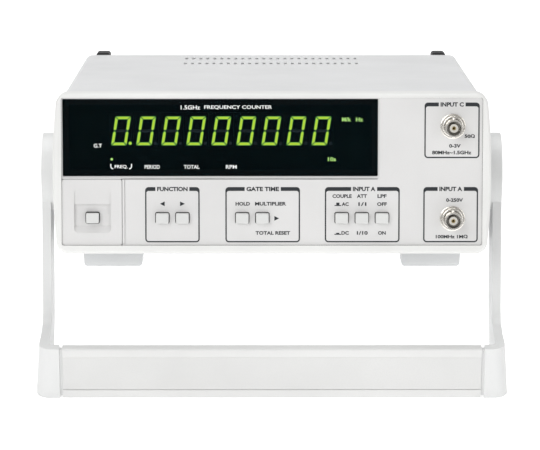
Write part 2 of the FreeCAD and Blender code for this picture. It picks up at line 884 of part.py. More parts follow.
def mains_inlet():
    """Moulded inlet with a flange outside the rear panel, a socket and a drawer way."""
    x = inlet_from_middle
    socket_z, drawer_z = inlet_parts()
    half_w = inlet_width / 2
    half_h = inlet_height / 2
    face = rear_face + inlet_flange_thickness
    body = block(x - half_w, x + half_w, face - inlet_body_depth, rear_face,
                 inlet_centre_height - half_h, inlet_centre_height + half_h)
    flange = slab(x - half_w - inlet_flange, x + half_w + inlet_flange,
                  inlet_centre_height - half_h - inlet_flange,
                  inlet_centre_height + half_h + inlet_flange, rear_face, face,
                  inlet_flange / 2)
    socket = slab(x - socket_width / 2, x + socket_width / 2, socket_z - socket_height / 2,
                  socket_z + socket_height / 2, face - socket_depth, face + over,
                  socket_corner_radius)
    half = drawer_width / 2 + drawer_gap
    way = block(x - half, x + half, face - drawer_depth - drawer_gap, face + over,
                drawer_z - drawer_height / 2 - drawer_gap,
                drawer_z + drawer_height / 2 + drawer_gap)
    return joined([body, flange]).cut([socket, way])


def inlet_pins():
    """Three flat pins standing in the socket."""
    socket_z, _ = inlet_parts()
    face = rear_face + inlet_flange_thickness
    floor = face - socket_depth
    pins = []
    for x, z in ((-pin_spread, -pin_offset), (0, pin_offset), (pin_spread, -pin_offset)):
        centre_x = inlet_from_middle + x
        centre_z = socket_z + z
        pins.append(block(centre_x - pin_width / 2, centre_x + pin_width / 2, floor,
                          floor + pin_length, centre_z - pin_height / 2,
                          centre_z + pin_height / 2))
    return pins


def fuse_drawer():
    """Drawer that pulls straight out of the inlet, with a finger lip."""
    _, drawer_z = inlet_parts()
    x = inlet_from_middle
    face = rear_face + inlet_flange_thickness
    tray = block(x - drawer_width / 2, x + drawer_width / 2, face - drawer_depth, face,
                 drawer_z - drawer_height / 2, drawer_z + drawer_height / 2)
    lip = block(x - drawer_width / 2, x + drawer_width / 2, face,
                face + drawer_lip_thickness, drawer_z - drawer_height / 2,
                drawer_z - drawer_height / 2 + drawer_lip)
    trough = rod(Vector(x - drawer_width / 2 + drawer_end_wall, face - drawer_depth / 2,
                        drawer_z + drawer_height / 2), X, drawer_trough_radius,
                 drawer_width - 2 * drawer_end_wall)
    return joined([tray, lip]).cut(trough)


# ---------------------------------------------------------------- inside the case
def main_board():
    """Horizontal board that carries the circuits."""
    return block(-main_board_half, main_board_half, main_board_front,
                 rear_inner - main_board_rear_gap, main_board_height,
                 main_board_height + board_thickness)


def board_top():
    """Height of the main board's upper face."""
    return main_board_height + board_thickness


def standoff_places():
    """Corners of the main board, in from its edges."""
    reach = main_board_half - standoff_edge
    rear = rear_inner - main_board_rear_gap - standoff_edge
    return [(x, y) for x in (-reach, reach) for y in (main_board_front + standoff_edge, rear)]


def standoffs():
    """Pillars between the bottom cover and the main board."""
    base = cover_bottom + sheet
    return [rod(Vector(x, y, base), Z, standoff_radius, main_board_height - base)
            for x, y in standoff_places()]


def transformer_place():
    """Centre of the mains transformer on the board."""
    y = rear_inner - main_board_rear_gap - inlet_body_depth - transformer_width / 2
    return main_board_half / 2, y


def transformer_core():
    """Laminated core: a closed stack with two windows for the coil."""
    x, y = transformer_place()
    half_w = transformer_width / 2
    half_d = transformer_depth / 2
    base = board_top()
    body = block(x - half_w, x + half_w, y - half_d, y + half_d, base,
                 base + transformer_height)
    cuts = []
    for side in (-1, 1):
        inner = x + side * core_leg
        outer = x + side * (half_w - core_leg)
        cuts.append(block(min(inner, outer), max(inner, outer), y - half_d - over,
                          y + half_d + over, base + core_leg,
                          base + transformer_height - core_leg))
    return body.cut(cuts)


def transformer_winding():
    """Coil on its bobbin, round the core's middle leg."""
    x, y = transformer_place()
    base = board_top() + core_leg + fit_gap
    top = board_top() + transformer_height - core_leg - fit_gap
    reach = transformer_width / 2 - core_leg - 2 * fit_gap
    half_d = transformer_depth / 2
    outer = block(x - reach, x + reach, y - half_d - winding_overhang,
                  y + half_d + winding_overhang, base, top)
    hole = block(x - core_leg - fit_gap, x + core_leg + fit_gap, y - half_d - fit_gap,
                 y + half_d + fit_gap, base - over, top + over)
    body = outer.cut(hole)
    return body.makeFillet(winding_overhang / 2,
                           [edge for edge in edges_along(body, Z)
                            if abs(abs(edge.BoundBox.XMin - x) - reach) < 1e-3])


def filter_capacitors():
    """Two round capacitors in front of the transformer."""
    x, y = transformer_place()
    row = y - transformer_depth / 2 - winding_overhang - capacitor_radius
    row -= capacitor_clearance
    return [rod(Vector(x + side * capacitor_pitch / 2, row, board_top()), Z,
                capacitor_radius, capacitor_height) for side in (-1, 1)]


def sink_place():
    """Near left corner of the heat sink on the board."""
    y = rear_inner - main_board_rear_gap - 2 * sink_fin_depth
    return -main_board_half / 2 - sink_width / 2, y


def heat_sink():
    """Finned sink beside the transformer."""
    x, y = sink_place()
    base = board_top()
    pieces = [block(x, x + sink_width, y, y + sink_base, base, base + sink_height)]
    step = (sink_width - sink_fin_thickness) / (sink_fin_count - 1)
    for index in range(sink_fin_count):
        left = x + index * step
        pieces.append(block(left, left + sink_fin_thickness, y + sink_base, y + sink_base + sink_fin_depth,
                            base, base + sink_height))
    return joined(pieces)


def regulators():
    """Three voltage regulators on the sink's flat face."""
    x, y = sink_place()
    width, depth, height = regulator_size
    lower = board_top() + sink_height / 3
    made = []
    for index in range(regulator_count):
        centre = x + sink_width * (index + 0.5) / regulator_count
        made.append(block(centre - width / 2, centre + width / 2, y - depth, y, lower,
                          lower + height))
    return made


def crystal_oscillator():
    """Oven can of the time base."""
    width, depth, height = oscillator_size
    x = -main_board_half / 2 - width / 2
    y = main_board_front + oscillator_from_board_front
    return block(x, x + width, y, y + depth, board_top(), board_top() + height)


def shield_can(y0, depth):
    """Sheet-metal lid with four walls, behind the input jacks."""
    x1 = main_board_half - shield_spacing / 2
    x0 = x1 - shield_width
    base = board_top()
    top = base + shield_height
    outer = block(x0, x1, y0, y0 + depth, base, top)
    return outer.cut(block(x0 + shield_wall, x1 - shield_wall, y0 + shield_wall,
                           y0 + depth - shield_wall, base - over, top - shield_wall))


def logic_chips():
    """Counter, processor and driver packages."""
    return [block(x, x + width, main_board_front + y, main_board_front + y + depth,
                  board_top(), board_top() + chip_height) for x, y, width, depth in chips]


# ---------------------------------------------------------------- handle
def pivot_at(x):
    """A point on the pivot's axis."""
    return Vector(x, pivot_depth, pivot_height)


def handle_hub():
    """Right-hand hub: seats on the cover, reaches the frame and carries the arm's bore."""
    stub = rod(pivot_at(frame_outer), X, hub_stub_radius, cover_half - frame_outer)
    base = rod(pivot_at(cover_half), X, hub_base_radius, hub_base_thickness)
    spigot = rod(pivot_at(hub_base_outer), X, spigot_radius, spigot_end - hub_base_outer)
    way = rod(pivot_at(frame_outer - over), X, hub_screw_radius, handle_outer - frame_outer)
    return joined([stub, base, spigot]).cut(way)


def hub_screw():
    """Flanged screw that keeps the arm on the hub, with its nut inside the frame."""
    shank = rod(pivot_at(frame_inner - hub_nut_thickness), X, hub_screw_radius,
                spigot_end - frame_inner + hub_nut_thickness)
    flange = rod(pivot_at(spigot_end), X, hub_screw_flange_radius, hub_screw_flange_thickness)
    head = rod(pivot_at(spigot_end + hub_screw_flange_thickness), X, hub_screw_head_radius,
               hub_screw_head_height)
    nut = rod(pivot_at(frame_inner - hub_nut_thickness), X, hub_nut_radius, hub_nut_thickness)
    return joined([shank, flange, head, nut])


def hub_cap():
    """Flush disc over the hub's pocket."""
    cap = rod(pivot_at(cap_seat), X, cap_radius - cap_gap, cap_thickness)
    rim = [edge for edge in cap.Edges if edge.BoundBox.XMin > cap_seat + cap_thickness - 1e-6]
    return cap.makeChamfer(cap_chamfer, rim)


def strap_profile():
    """Side outline of an arm: straight strap, bend and end, as a face in the YZ plane."""
    front = pivot_depth - strap_width / 2
    rear = pivot_depth + strap_width / 2
    centre = Vector(0, bend_centre_y, bend_centre_z)
    down = -upward
    half_turn = (down + Y).normalize()
    end_low = grip_front - upward * (strap_width / 2)
    end_high = grip_front + upward * (strap_width / 2)
    back = forward * corner_length
    front_top = Vector(0, front, pivot_height)
    rear_top = Vector(0, rear, pivot_height)
    edges = [
        Part.LineSegment(front_top, rear_top),
        Part.LineSegment(rear_top, Vector(0, rear, bend_centre_z)),
        Part.Arc(Vector(0, rear, bend_centre_z), centre + half_turn * bend_outer,
                 centre + down * bend_outer),
        Part.LineSegment(centre + down * bend_outer, end_low - back),
        Part.LineSegment(end_low - back, end_high - back),
        Part.LineSegment(end_high - back, centre + down * bend_radius),
        Part.Arc(centre + down * bend_radius, centre + half_turn * bend_radius,
                 Vector(0, front, bend_centre_z)),
        Part.LineSegment(Vector(0, front, bend_centre_z), front_top),
    ]
    return Part.Face(Part.Wire([edge.toShape() for edge in edges]))


def corner_plan(height, spread):
    """Plan of the moulded corner at one height: the arm's end turning into the grip."""
    side = handle_outer + spread
    start = end_reach - corner_length
    inside = handle_outer - corner_return
    quarter = math.sqrt(0.5)
    back = end_reach - corner_wall

    def at(x, y):
        return Vector(x, y, height)

    outer_sag = corner_radius * (1 - quarter)
    arc_mid = at(side - outer_sag, end_reach - outer_sag)
    inner_sag = corner_inner_radius * (1 - quarter)
    inner_mid = at(handle_inner - inner_sag, back - inner_sag)
    edges = [
        Part.LineSegment(at(handle_inner, start), at(handle_outer, start)),
        Part.LineSegment(at(handle_outer, start), at(side, end_reach - corner_radius)),
        Part.Arc(at(side, end_reach - corner_radius), arc_mid,
                 at(side - corner_radius, end_reach)),
        Part.LineSegment(at(side - corner_radius, end_reach), at(inside, end_reach)),
        Part.LineSegment(at(inside, end_reach), at(inside, back)),
        Part.LineSegment(at(inside, back), at(handle_inner - corner_inner_radius, back)),
        Part.Arc(at(handle_inner - corner_inner_radius, back), inner_mid,
                 at(handle_inner, back - corner_inner_radius)),
        Part.LineSegment(at(handle_inner, back - corner_inner_radius), at(handle_inner, start)),
    ]
    return Part.Wire([edge.toShape() for edge in edges])


def tenon_box(gap):
    """The arm's tenon inside the grip, with a gap all round, drawn along the handle's end."""
    inside = handle_outer - corner_return
    return block(inside - neck_gap - tenon_length, inside,
                 end_reach - corner_wall + grip_wall + tenon_gap - gap,
                 end_reach - grip_insert_depth - grip_wall - tenon_gap + gap,
                 -strap_width / 2 + grip_rail - tenon_gap - gap,
                 strap_width / 2 - grip_rail + tenon_gap + gap)


def handle_arm():
    """Right-hand arm with its round head, bend, moulded corner, neck and tenon."""
    strap = strap_profile().extrude(X * strap_thickness)
    strap.translate(X * handle_inner)
    head = rod(pivot_at(head_inner), X, head_radius, handle_outer - head_inner)
    corner = Part.makeLoft([corner_plan(-strap_width / 2, corner_flare + corner_draft),
                            corner_plan(strap_width / 2, corner_flare)], True, True)
    inside = handle_outer - corner_return
    neck = block(inside - neck_gap, inside, end_reach - corner_wall + neck_inset,
                 end_reach - neck_inset, -strap_width / 2 + neck_inset,
                 strap_width / 2 - neck_inset)
    end = [turned_about_x(mirrored(piece)) for piece in (corner, neck, tenon_box(0))]
    bore = rod(pivot_at(head_inner - over), X, spigot_radius + pivot_clearance,
               handle_outer - head_inner)
    pocket = rod(pivot_at(pocket_floor), X, pocket_radius, handle_outer)
    seat = rod(pivot_at(cap_seat), X, cap_radius, handle_outer)
    return joined([strap, head] + end).cut([bore, pocket, seat])


def grip_half():
    """Half the grip's length, up to the neck."""
    return handle_outer - corner_return - neck_gap


def handle_grip():
    """Hollow bar with a rounded rail above and below a long recess."""
    half = grip_half()
    low = -strap_width / 2
    high = strap_width / 2
    bar = block(-half, half, end_reach - corner_wall, end_reach, low, high)
    bar = bar.makeFillet(grip_rounding, edges_along(bar, X))
    recess = block(-half - over, half + over, end_reach - grip_insert_depth, end_reach + over,
                   low + grip_rail, high - grip_rail)
    channel = block(-half - over, half + over, end_reach - corner_wall + grip_wall,
                    end_reach - grip_insert_depth - grip_wall, low + grip_rail - 2 * tenon_gap,
                    high - grip_rail + 2 * tenon_gap)
    holes = [rod(Vector(x, end_reach - corner_wall - over, z), Y, grip_screw_radius,
                 grip_wall + 2 * over)
             for x, z in grip_screw_places()]
    return turned_about_x(bar.cut([recess, channel] + holes))


def grip_insert():
    """Flat strip that fills the grip's recess."""
    half = grip_half()
    base = end_reach - grip_insert_depth
    return turned_about_x(block(-half, half, base, base + grip_insert_thickness,
                                -strap_width / 2 + grip_rail + fit_gap,
                                strap_width / 2 - grip_rail - fit_gap))


def grip_screw_places():
    """Two screws near each end of the grip."""
    x = grip_half() - tenon_length / 2
    z = strap_width / 2 - grip_rail - 2 * grip_screw_head_radius
    return [(side * x, level) for side in (-1, 1) for level in (-z, z)]


def grip_screws():
    """Screws through the grip's back into the arms' tenons."""
    made = []
    back = end_reach - corner_wall
    for x, z in grip_screw_places():
        head = rod(Vector(x, back - grip_screw_head_height, z), Y, grip_screw_head_radius,
                   grip_screw_head_height)
        shank = rod(Vector(x, back, z), Y, grip_screw_radius - grip_screw_gap, grip_wall + tenon_gap)
        face = Vector(x, back - grip_screw_head_height, z)
        slots = cross_recess(face, Y, grip_screw_head_radius)
        made.append(turned_about_x(joined([head, shank]).cut(slots)))
    return made


# ---------------------------------------------------------------- the whole object
def cover_screws():
    """Countersunk screws along both sides of the top cover."""
    made = []
    for y in cover_screw_depths:
        start = Vector(frame_outer, y, cover_screw_height)
        head = rod(start + X * (sheet + fit_gap), X, cover_screw_head_radius,
                   cover_screw_head_height)
        shank = rod(start, X, cover_screw_radius, sheet + fit_gap)
        face = start + X * (sheet + fit_gap + cover_screw_head_height)
        screw = joined([head, shank]).cut(cross_recess(face, -X, cover_screw_head_radius))
        made += [screw, mirrored(screw)]
    return made


def cover_screw_holes():
    """Clearance for those screws in the cover."""
    return [rod(Vector(-case_width, y, cover_screw_height), X,
                cover_screw_radius + cap_gap, 2 * case_width) for y in cover_screw_depths]


def build():
    """Every node's shape in the case frame, by name."""
    nodes = {
        "front_bezel": front_bezel(),
        "front_panel": front_panel(),
        "power_panel": power_panel(),
        "display_window": display_window(),
        "top_cover": top_cover().cut(cover_screw_holes()),
        "bottom_cover": bottom_cover(),
        "rear_panel": rear_panel(),
        "side_frame_right": side_frame(),
        "side_frame_left": mirrored(side_frame()),
        "switch_board": switch_board(),
        "display_board": display_board(),
        "display_mask": display_mask(),
        "led_digits": group(digit_blocks()),
        "legend_lamps": group(lamps()),
    }
    places = button_places()
    for name, x, _ in places:
        nodes[name] = button(x, panel_front - button_proud, panel_back)
    nodes["power_button"] = button(power_button_x, panel_front - button_proud / 2, panel_back)
    nodes["key_switches"] = group([switch_body(x, switch_length) for _, x, _ in places])
    nodes["power_switch"] = switch_body(power_button_x, power_switch_length)
    for name, z in (("input_a", lower_jack_height), ("input_c", upper_jack_height)):
        nodes[name + "_shell"] = jack_body(z)
        nodes[name + "_nut"] = jack_nut(z)
        nodes[name + "_insulator"] = jack_insulator(z)
        nodes[name + "_contact"] = jack_contact(z)
    feet = {"front_feet": foot_places(front_foot_y), "rear_feet": foot_places(rear_foot_y)}
    for name, spots in feet.items():
        nodes[name] = group([foot(x, y) for x, y in spots])
    nodes["foot_screws"] = group([foot_screw(x, y) for spots in feet.values() for x, y in spots])
    nodes["cord_posts"] = group([cord_post(x, z) for x, z in post_places()])
    nodes["cord_post_screws"] = group([post_screw(x, z) for x, z in post_places()])
    nodes["mains_inlet"] = mains_inlet()
    nodes["inlet_pins"] = group(inlet_pins())
    nodes["fuse_drawer"] = fuse_drawer()
    nodes["cover_screws"] = group(cover_screws())
    nodes["main_board"] = main_board()
    nodes["board_standoffs"] = group(standoffs())
    nodes["transformer_core"] = transformer_core()
    nodes["transformer_winding"] = transformer_winding()
    nodes["filter_capacitors"] = group(filter_capacitors())
    nodes["heat_sink"] = heat_sink()
    nodes["voltage_regulators"] = group(regulators())
    nodes["crystal_oscillator"] = crystal_oscillator()
    shield_y = main_board_front + shield_spacing
    nodes["input_a_shield"] = shield_can(shield_y, input_shield_depth)
    nodes["prescaler_shield"] = shield_can(shield_y + input_shield_depth + shield_spacing,
                                           prescaler_shield_depth)
    nodes["logic_chips"] = group(logic_chips())
    hub = handle_hub()
    nodes["handle_hubs"] = group([hub, mirrored(hub)])
    nodes["hub_screws"] = group([hub_screw(), mirrored(hub_screw())])
    nodes["hub_caps"] = group([hub_cap(), mirrored(hub_cap())])
    nodes["handle_arm_right"] = handle_arm()
    nodes["handle_arm_left"] = mirrored(handle_arm())
    nodes["handle_grip"] = handle_grip()
    nodes["grip_insert"] = grip_insert()
    nodes["grip_screws"] = group(grip_screws())
    return nodes


def stood_up(nodes):
    """Leans every node back onto the bench, centred over the floor point below the object."""
    whole = FreeCAD.BoundBox()
    for shape in nodes.values():
        shape.rotate(Vector(0, 0, 0), X, -math.degrees(lean))
        whole.add(shape.BoundBox)
    floor = foot_bottom * math.cos(lean) - heel_y * math.sin(lean)
    shift = Vector(-whole.Center.x, -whole.Center.y, -floor)
    for shape in nodes.values():
        shape.translate(shift)
    return shift


if __name__ == "__main__":
    os.makedirs("parts", exist_ok=True)
    pieces = build()
    moved = stood_up(pieces)
    for node, shape in pieces.items():
        shape.exportStep("parts/" + node + ".step")
        print(node, len(shape.Solids), shape.isValid(), round(shape.Volume / 1000, 3))
    print("lean", round(math.degrees(lean), 3), "shift", moved, "nodes", len(pieces))
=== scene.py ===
"""Studio scene of a bench frequency counter that leans back on its swinging handle.

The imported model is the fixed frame. This script dresses its nodes, adds the print, the lit digits
and the turned metalwork, and lights the whole on a plain pale floor.
"""

import json
import logging
import math
from dataclasses import dataclass, field
from enum import Enum
from typing import Callable, Iterable, Optional, Sequence

import bmesh
import bpy
from mathutils import Matrix, Vector


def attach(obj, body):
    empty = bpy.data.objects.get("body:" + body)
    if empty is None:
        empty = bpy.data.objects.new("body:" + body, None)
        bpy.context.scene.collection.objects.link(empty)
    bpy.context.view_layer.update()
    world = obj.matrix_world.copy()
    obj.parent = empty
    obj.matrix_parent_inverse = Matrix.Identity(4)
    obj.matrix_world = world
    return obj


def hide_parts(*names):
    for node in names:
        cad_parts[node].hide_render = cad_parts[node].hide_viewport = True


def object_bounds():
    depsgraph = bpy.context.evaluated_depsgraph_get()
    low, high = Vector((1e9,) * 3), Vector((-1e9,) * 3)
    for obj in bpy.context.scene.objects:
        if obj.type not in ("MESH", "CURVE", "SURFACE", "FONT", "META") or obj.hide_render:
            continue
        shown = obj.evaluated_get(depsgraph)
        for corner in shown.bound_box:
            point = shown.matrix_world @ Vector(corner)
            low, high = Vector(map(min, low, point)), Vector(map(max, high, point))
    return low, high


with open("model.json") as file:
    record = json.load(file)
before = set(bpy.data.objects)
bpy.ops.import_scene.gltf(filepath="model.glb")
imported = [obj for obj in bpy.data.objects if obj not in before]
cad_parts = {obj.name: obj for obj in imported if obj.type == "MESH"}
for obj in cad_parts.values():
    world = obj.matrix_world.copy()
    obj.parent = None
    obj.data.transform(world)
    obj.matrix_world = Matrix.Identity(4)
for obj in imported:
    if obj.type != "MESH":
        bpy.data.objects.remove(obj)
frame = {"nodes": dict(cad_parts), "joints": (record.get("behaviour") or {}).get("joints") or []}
cad_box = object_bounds()

log = logging.getLogger("frequency_counter")

MM = 0.001
CASE = "case"
KEYS = ("function_left_button", "function_right_button", "gate_hold_button",
        "gate_multiplier_button", "coupling_button", "attenuator_button", "low_pass_button",
        "power_button")

Colour = tuple[float, float, float]
Loop = list[tuple[float, float]]


# ------------------------------------------------------------------ the case's own axes
@dataclass(frozen=True)
class Box:
    """A box in the case's axes, in millimetres."""

    low: Vector
    high: Vector

    @property
    def centre(self) -> Vector:
        """The middle of the box."""
        return (self.low + self.high) / 2

    @property
    def size(self) -> Vector:
        """The box's three sides."""
        return self.high - self.low


@dataclass(frozen=True)
class CaseFrame:
    """The case's axes: x to the right, y inwards from the front rim, z up, in millimetres."""

    right: Vector
    inward: Vector
    upward: Vector
    origin: Vector

    @classmethod
    def measured(cls) -> "CaseFrame":
        """Reads the axes from the power key's slide and the bezel's mesh.

        Returns:
            The case's axes with the origin under the middle of the bezel's front rim.
        """
        inward = Vector(next(j["axis"] for j in frame["joints"] if j["name"] == "power_press"))
        inward.normalize()
        right = Vector((1.0, 0.0, 0.0))
        upward = right.cross(inward)
        points = [vertex.co for vertex in frame["nodes"]["front_bezel"].data.vertices]
        origin = inward * min(point.dot(inward) for point in points)
        origin += upward * min(point.dot(upward) for point in points)
        return cls(right, inward, upward, origin)

    @property
    def matrix(self) -> Matrix:
        """Turns case millimetres into metres in the shared frame."""
        axes = Matrix((self.right, self.inward, self.upward)).transposed().to_4x4()
        return Matrix.Translation(self.origin) @ axes @ Matrix.Scale(MM, 4)

    def local(self, point: Vector) -> Vector:
        """A shared-frame point in case millimetres."""
        offset = point - self.origin
        return Vector((offset.dot(self.right), offset.dot(self.inward),
                       offset.dot(self.upward))) / MM

    def _around(self, points: Iterable[Vector]) -> Box:
        """The box round some shared-frame points."""
        local = [self.local(point) for point in points]
        return Box(Vector(map(min, zip(*local))), Vector(map(max, zip(*local))))

    def box(self, node: str) -> Box:
        """The box of a whole node in the case's axes."""
        return self._around(vertex.co for vertex in frame["nodes"][node].data.vertices)

    def boxes(self, node: str) -> list[Box]:
        """The boxes of a node's separate solids.

        Args:
            node: The node's name.

        Returns:
            One box per solid, from left to right.
        """
        shape = bmesh.new()
        shape.from_mesh(frame["nodes"][node].data)
        bmesh.ops.remove_doubles(shape, verts=shape.verts, dist=1e-6)
        left = set(shape.verts)
        found = []
        while left:
            island, edge_of = set(), [left.pop()]
            while edge_of:
                vert = edge_of.pop()
                island.add(vert)
                near = {edge.other_vert(vert) for edge in vert.link_edges} & left
                left -= near
                edge_of.extend(near)
            found.append(self._around(vert.co for vert in island))
        shape.free()
        return sorted(found, key=lambda solid: solid.low.x)


# ------------------------------------------------------------------ shared shader groups
class Graph:
    """A small builder for one node tree."""

    def __init__(self, tree: bpy.types.NodeTree) -> None:
        """Keeps the tree that the nodes go into."""
        self.tree = tree

    def node(self, kind: str, links: Optional[dict] = None, **settings) -> bpy.types.Node:
        """Adds a node.

        Args:
            kind: The node's Blender type.
            links: Sockets by name or number, each with a value or the output that feeds it.
            **settings: The node's own properties.

        Returns:
            The new node.
        """
        made = self.tree.nodes.new(kind)
        for key, value in settings.items():
            setattr(made, key, value)
        for key, value in (links or {}).items():
            if isinstance(value, bpy.types.NodeSocket):
                self.tree.links.new(value, made.inputs[key])
            else:
                made.inputs[key].default_value = value
        return made

    def math(self, operation: str, *values) -> bpy.types.NodeSocket:
        """Adds a Math node over its values and gives its result."""
        links = dict(enumerate(values))
        return self.node("ShaderNodeMath", links, operation=operation).outputs[0]

    def where(self) -> bpy.types.NodeSocket:
        """Adds the object's own coordinates and gives them."""
        return self.node("ShaderNodeTexCoord").outputs["Object"]

    def bump(self, height: bpy.types.NodeSocket, distance: float,
             strength: float = 1.0) -> bpy.types.NodeSocket:
        """Adds a bump with its distance in metres and gives its normal."""
        links = {"Height": height, "Distance": distance, "Strength": strength}
        return self.node("ShaderNodeBump", links).outputs[0]

    def feed(self, node: bpy.types.Node, **sources: bpy.types.NodeSocket) -> None:
        """Links outputs into a node's sockets, named with _ for each space."""
        for name, source in sources.items():
            self.tree.links.new(source, node.inputs[name.replace("_", " ")])

    def noise(self, where: bpy.types.NodeSocket, scale, detail: float = 3.0,
              roughness: float = 0.55) -> bpy.types.NodeSocket:
        """Adds noise over a coordinate and gives its value."""
        links = {"Vector": where, "Scale": scale, "Detail": detail, "Roughness": roughness}
        return self.node("ShaderNodeTexNoise", links).outputs["Fac"]

    def ranged(self, value: bpy.types.NodeSocket, low: float, high: float,
               to_low: float = 0.0, to_high: float = 1.0) -> bpy.types.NodeSocket:
        """Adds a clamped Map Range and gives its result."""
        links = {"Value": value, "From Min": low, "From Max": high, "To Min": to_low,
                 "To Max": to_high}
        return self.node("ShaderNodeMapRange", links).outputs[0]

    def mix(self, factor, first, second) -> bpy.types.NodeSocket:
        """Adds a colour mix and gives its colour."""
        made = self.node("ShaderNodeMix", data_type="RGBA")
        for index, value in ((0, factor), (6, first), (7, second)):
            if isinstance(value, bpy.types.NodeSocket):
                self.tree.links.new(value, made.inputs[index])
            elif index:
                made.inputs[index].default_value = (*value, 1.0)
            else:
                made.inputs[index].default_value = value
        return made.outputs[2]


class Effect(Enum):
    """The effects that several finishes share."""

    GRAIN = "moulded_grain"
    TONE = "slow_tone"
    EDGES = "worn_edges"
    BRUSH = "turned_lines"
    # Painted shade: darkens recesses where other faces stand close, with tarnish.
    PAINTED_RECESS_SHADE = "painted_shade_in_recesses"


class EffectLibrary:
    """Builds each shared shader group once and hands it out."""

    def __init__(self) -> None:
        """Starts with no groups built."""
        self.groups: dict[Effect, bpy.types.NodeTree] = {}
        self.makers: dict[Effect, Callable[[], None]] = {
            Effect.GRAIN: self._grain, Effect.TONE: self._tone, Effect.EDGES: self._edges,
            Effect.BRUSH: self._brush, Effect.PAINTED_RECESS_SHADE: self._shade_in_recesses}

    def _start(self, effect: Effect, inputs: dict[str, float],
               outputs: Sequence[str]) -> tuple[Graph, dict, bpy.types.Node]:
        """Makes and keeps an empty group with its sockets.

        Args:
            effect: Which effect the group is for.
            inputs: Input names with their first values.
            outputs: Output names.

        Returns:
            The graph, the input sockets by name and the output node.
        """
        tree = self.groups[effect] = bpy.data.node_groups.new(effect.value, "ShaderNodeTree")
        for name, value in inputs.items():
            socket = tree.interface.new_socket(name, in_out="INPUT",
                                               socket_type="NodeSocketFloat")
            socket.default_value = value
        for name in outputs:
            tree.interface.new_socket(name, in_out="OUTPUT", socket_type="NodeSocketFloat")
        entry = tree.nodes.new("NodeGroupInput")
        exit_node = tree.nodes.new("NodeGroupOutput")
        return Graph(tree), {socket.name: socket for socket in entry.outputs}, exit_node

    def _grain(self) -> None:
        """Fine moulded or powder-coated skin: small pits over a soft orange peel."""
        graph, given, exit_node = self._start(Effect.GRAIN, {"Scale": 2500.0, "Peel": 0.4},
                                              ("Height", "Pits"))
        where = graph.where()
        fine = graph.noise(where, given["Scale"], 2.0, 0.6)
        cells = graph.node("ShaderNodeTexVoronoi", {"Vector": where, "Scale": given["Scale"]},
                           feature="SMOOTH_F1").outputs["Distance"]
        peel = graph.noise(where, graph.math("MULTIPLY", given["Scale"], 0.2), 1.0)
        skin = graph.math("MULTIPLY_ADD", cells, 0.5, fine)
        height = graph.math("MULTIPLY_ADD", peel, given["Peel"], skin)
        graph.feed(exit_node, Height=height, Pits=graph.ranged(cells, 0.25, 0.6))

    def _tone(self) -> None:
        """Slow variation over a surface, as handling, light and age leave it."""
        graph, given, exit_node = self._start(Effect.TONE, {"Scale": 14.0, "Amount": 1.0},
                                              ("Tone", "Smudge"))
        where = graph.where()
        broad = graph.noise(where, given["Scale"], 3.0)
        tone = graph.math("MULTIPLY", graph.math("SUBTRACT", broad, 0.5), given["Amount"])
        smudge = graph.noise(where, graph.math("MULTIPLY", given["Scale"], 5.0), 5.0, 0.65)
        graph.feed(exit_node, Tone=tone, Smudge=graph.ranged(smudge, 0.48, 0.72))

    def _edges(self) -> None:
        """Edges that handling has polished, broken up by noise."""
        graph, given, exit_node = self._start(Effect.EDGES, {"Radius": 0.0006}, ("Mask",))
        rounded = graph.node("ShaderNodeBevel", {"Radius": given["Radius"]}, samples=4)
        true = graph.node("ShaderNodeNewGeometry").outputs["Normal"]
        facing = graph.node("ShaderNodeVectorMath", {0: rounded.outputs[0], 1: true},
                            operation="DOT_PRODUCT").outputs["Value"]
        edge = graph.ranged(facing, 1.0, 0.93)
        where = graph.where()
        broken = graph.ranged(graph.noise(where, 220.0, 4.0, 0.6), 0.35, 0.65, 0.35, 1.0)
        graph.feed(exit_node, Mask=graph.math("MULTIPLY", edge, broken))

    def _brush(self) -> None:
        """Fine lines left by turning, brushing or drawing the metal."""
        graph, given, exit_node = self._start(Effect.BRUSH, {"Scale": 900.0, "Stretch": 24.0},
                                              ("Lines", "Clouds"))
        where = graph.where()
        parts = graph.node("ShaderNodeSeparateXYZ", {0: where}).outputs
        along = graph.math("DIVIDE", parts[0], given["Stretch"])
        drawn = graph.node("ShaderNodeCombineXYZ", {0: along, 1: parts[1], 2: parts[2]})
        lines = graph.noise(drawn.outputs[0], given["Scale"], 4.0, 0.7)
        clouds = graph.noise(where, graph.math("MULTIPLY", given["Scale"], 0.08), 3.0)
        graph.feed(exit_node, Lines=lines, Clouds=clouds)

    def _shade_in_recesses(self) -> None:
        """Painted shade where other faces stand close: it stands in for the shadow there, along
        with the tarnish that gathers there.
        """
        graph, given, exit_node = self._start(Effect.PAINTED_RECESS_SHADE, {"Distance": 0.003}, ("Mask",))
        openness = graph.node("ShaderNodeAmbientOcclusion", {"Distance": given["Distance"]},
                              samples=6)
        graph.feed(exit_node, Mask=graph.ranged(openness.outputs["AO"], 0.15, 0.75, 1.0, 0.0))

    def place(self, graph: Graph, effect: Effect, **values: float) -> bpy.types.Node:
        """Puts an effect's group into a material.

        Args:
            graph: The material's graph.
            effect: Which effect to place.
            **values: The group's inputs for this material.

        Returns:
            The group's node.
        """
        if effect not in self.groups:
            self.makers[effect]()
        node = graph.node("ShaderNodeGroup", node_tree=self.groups[effect])
        for name, value in values.items():
            node.inputs[name].default_value = value
        return node


effects = EffectLibrary()


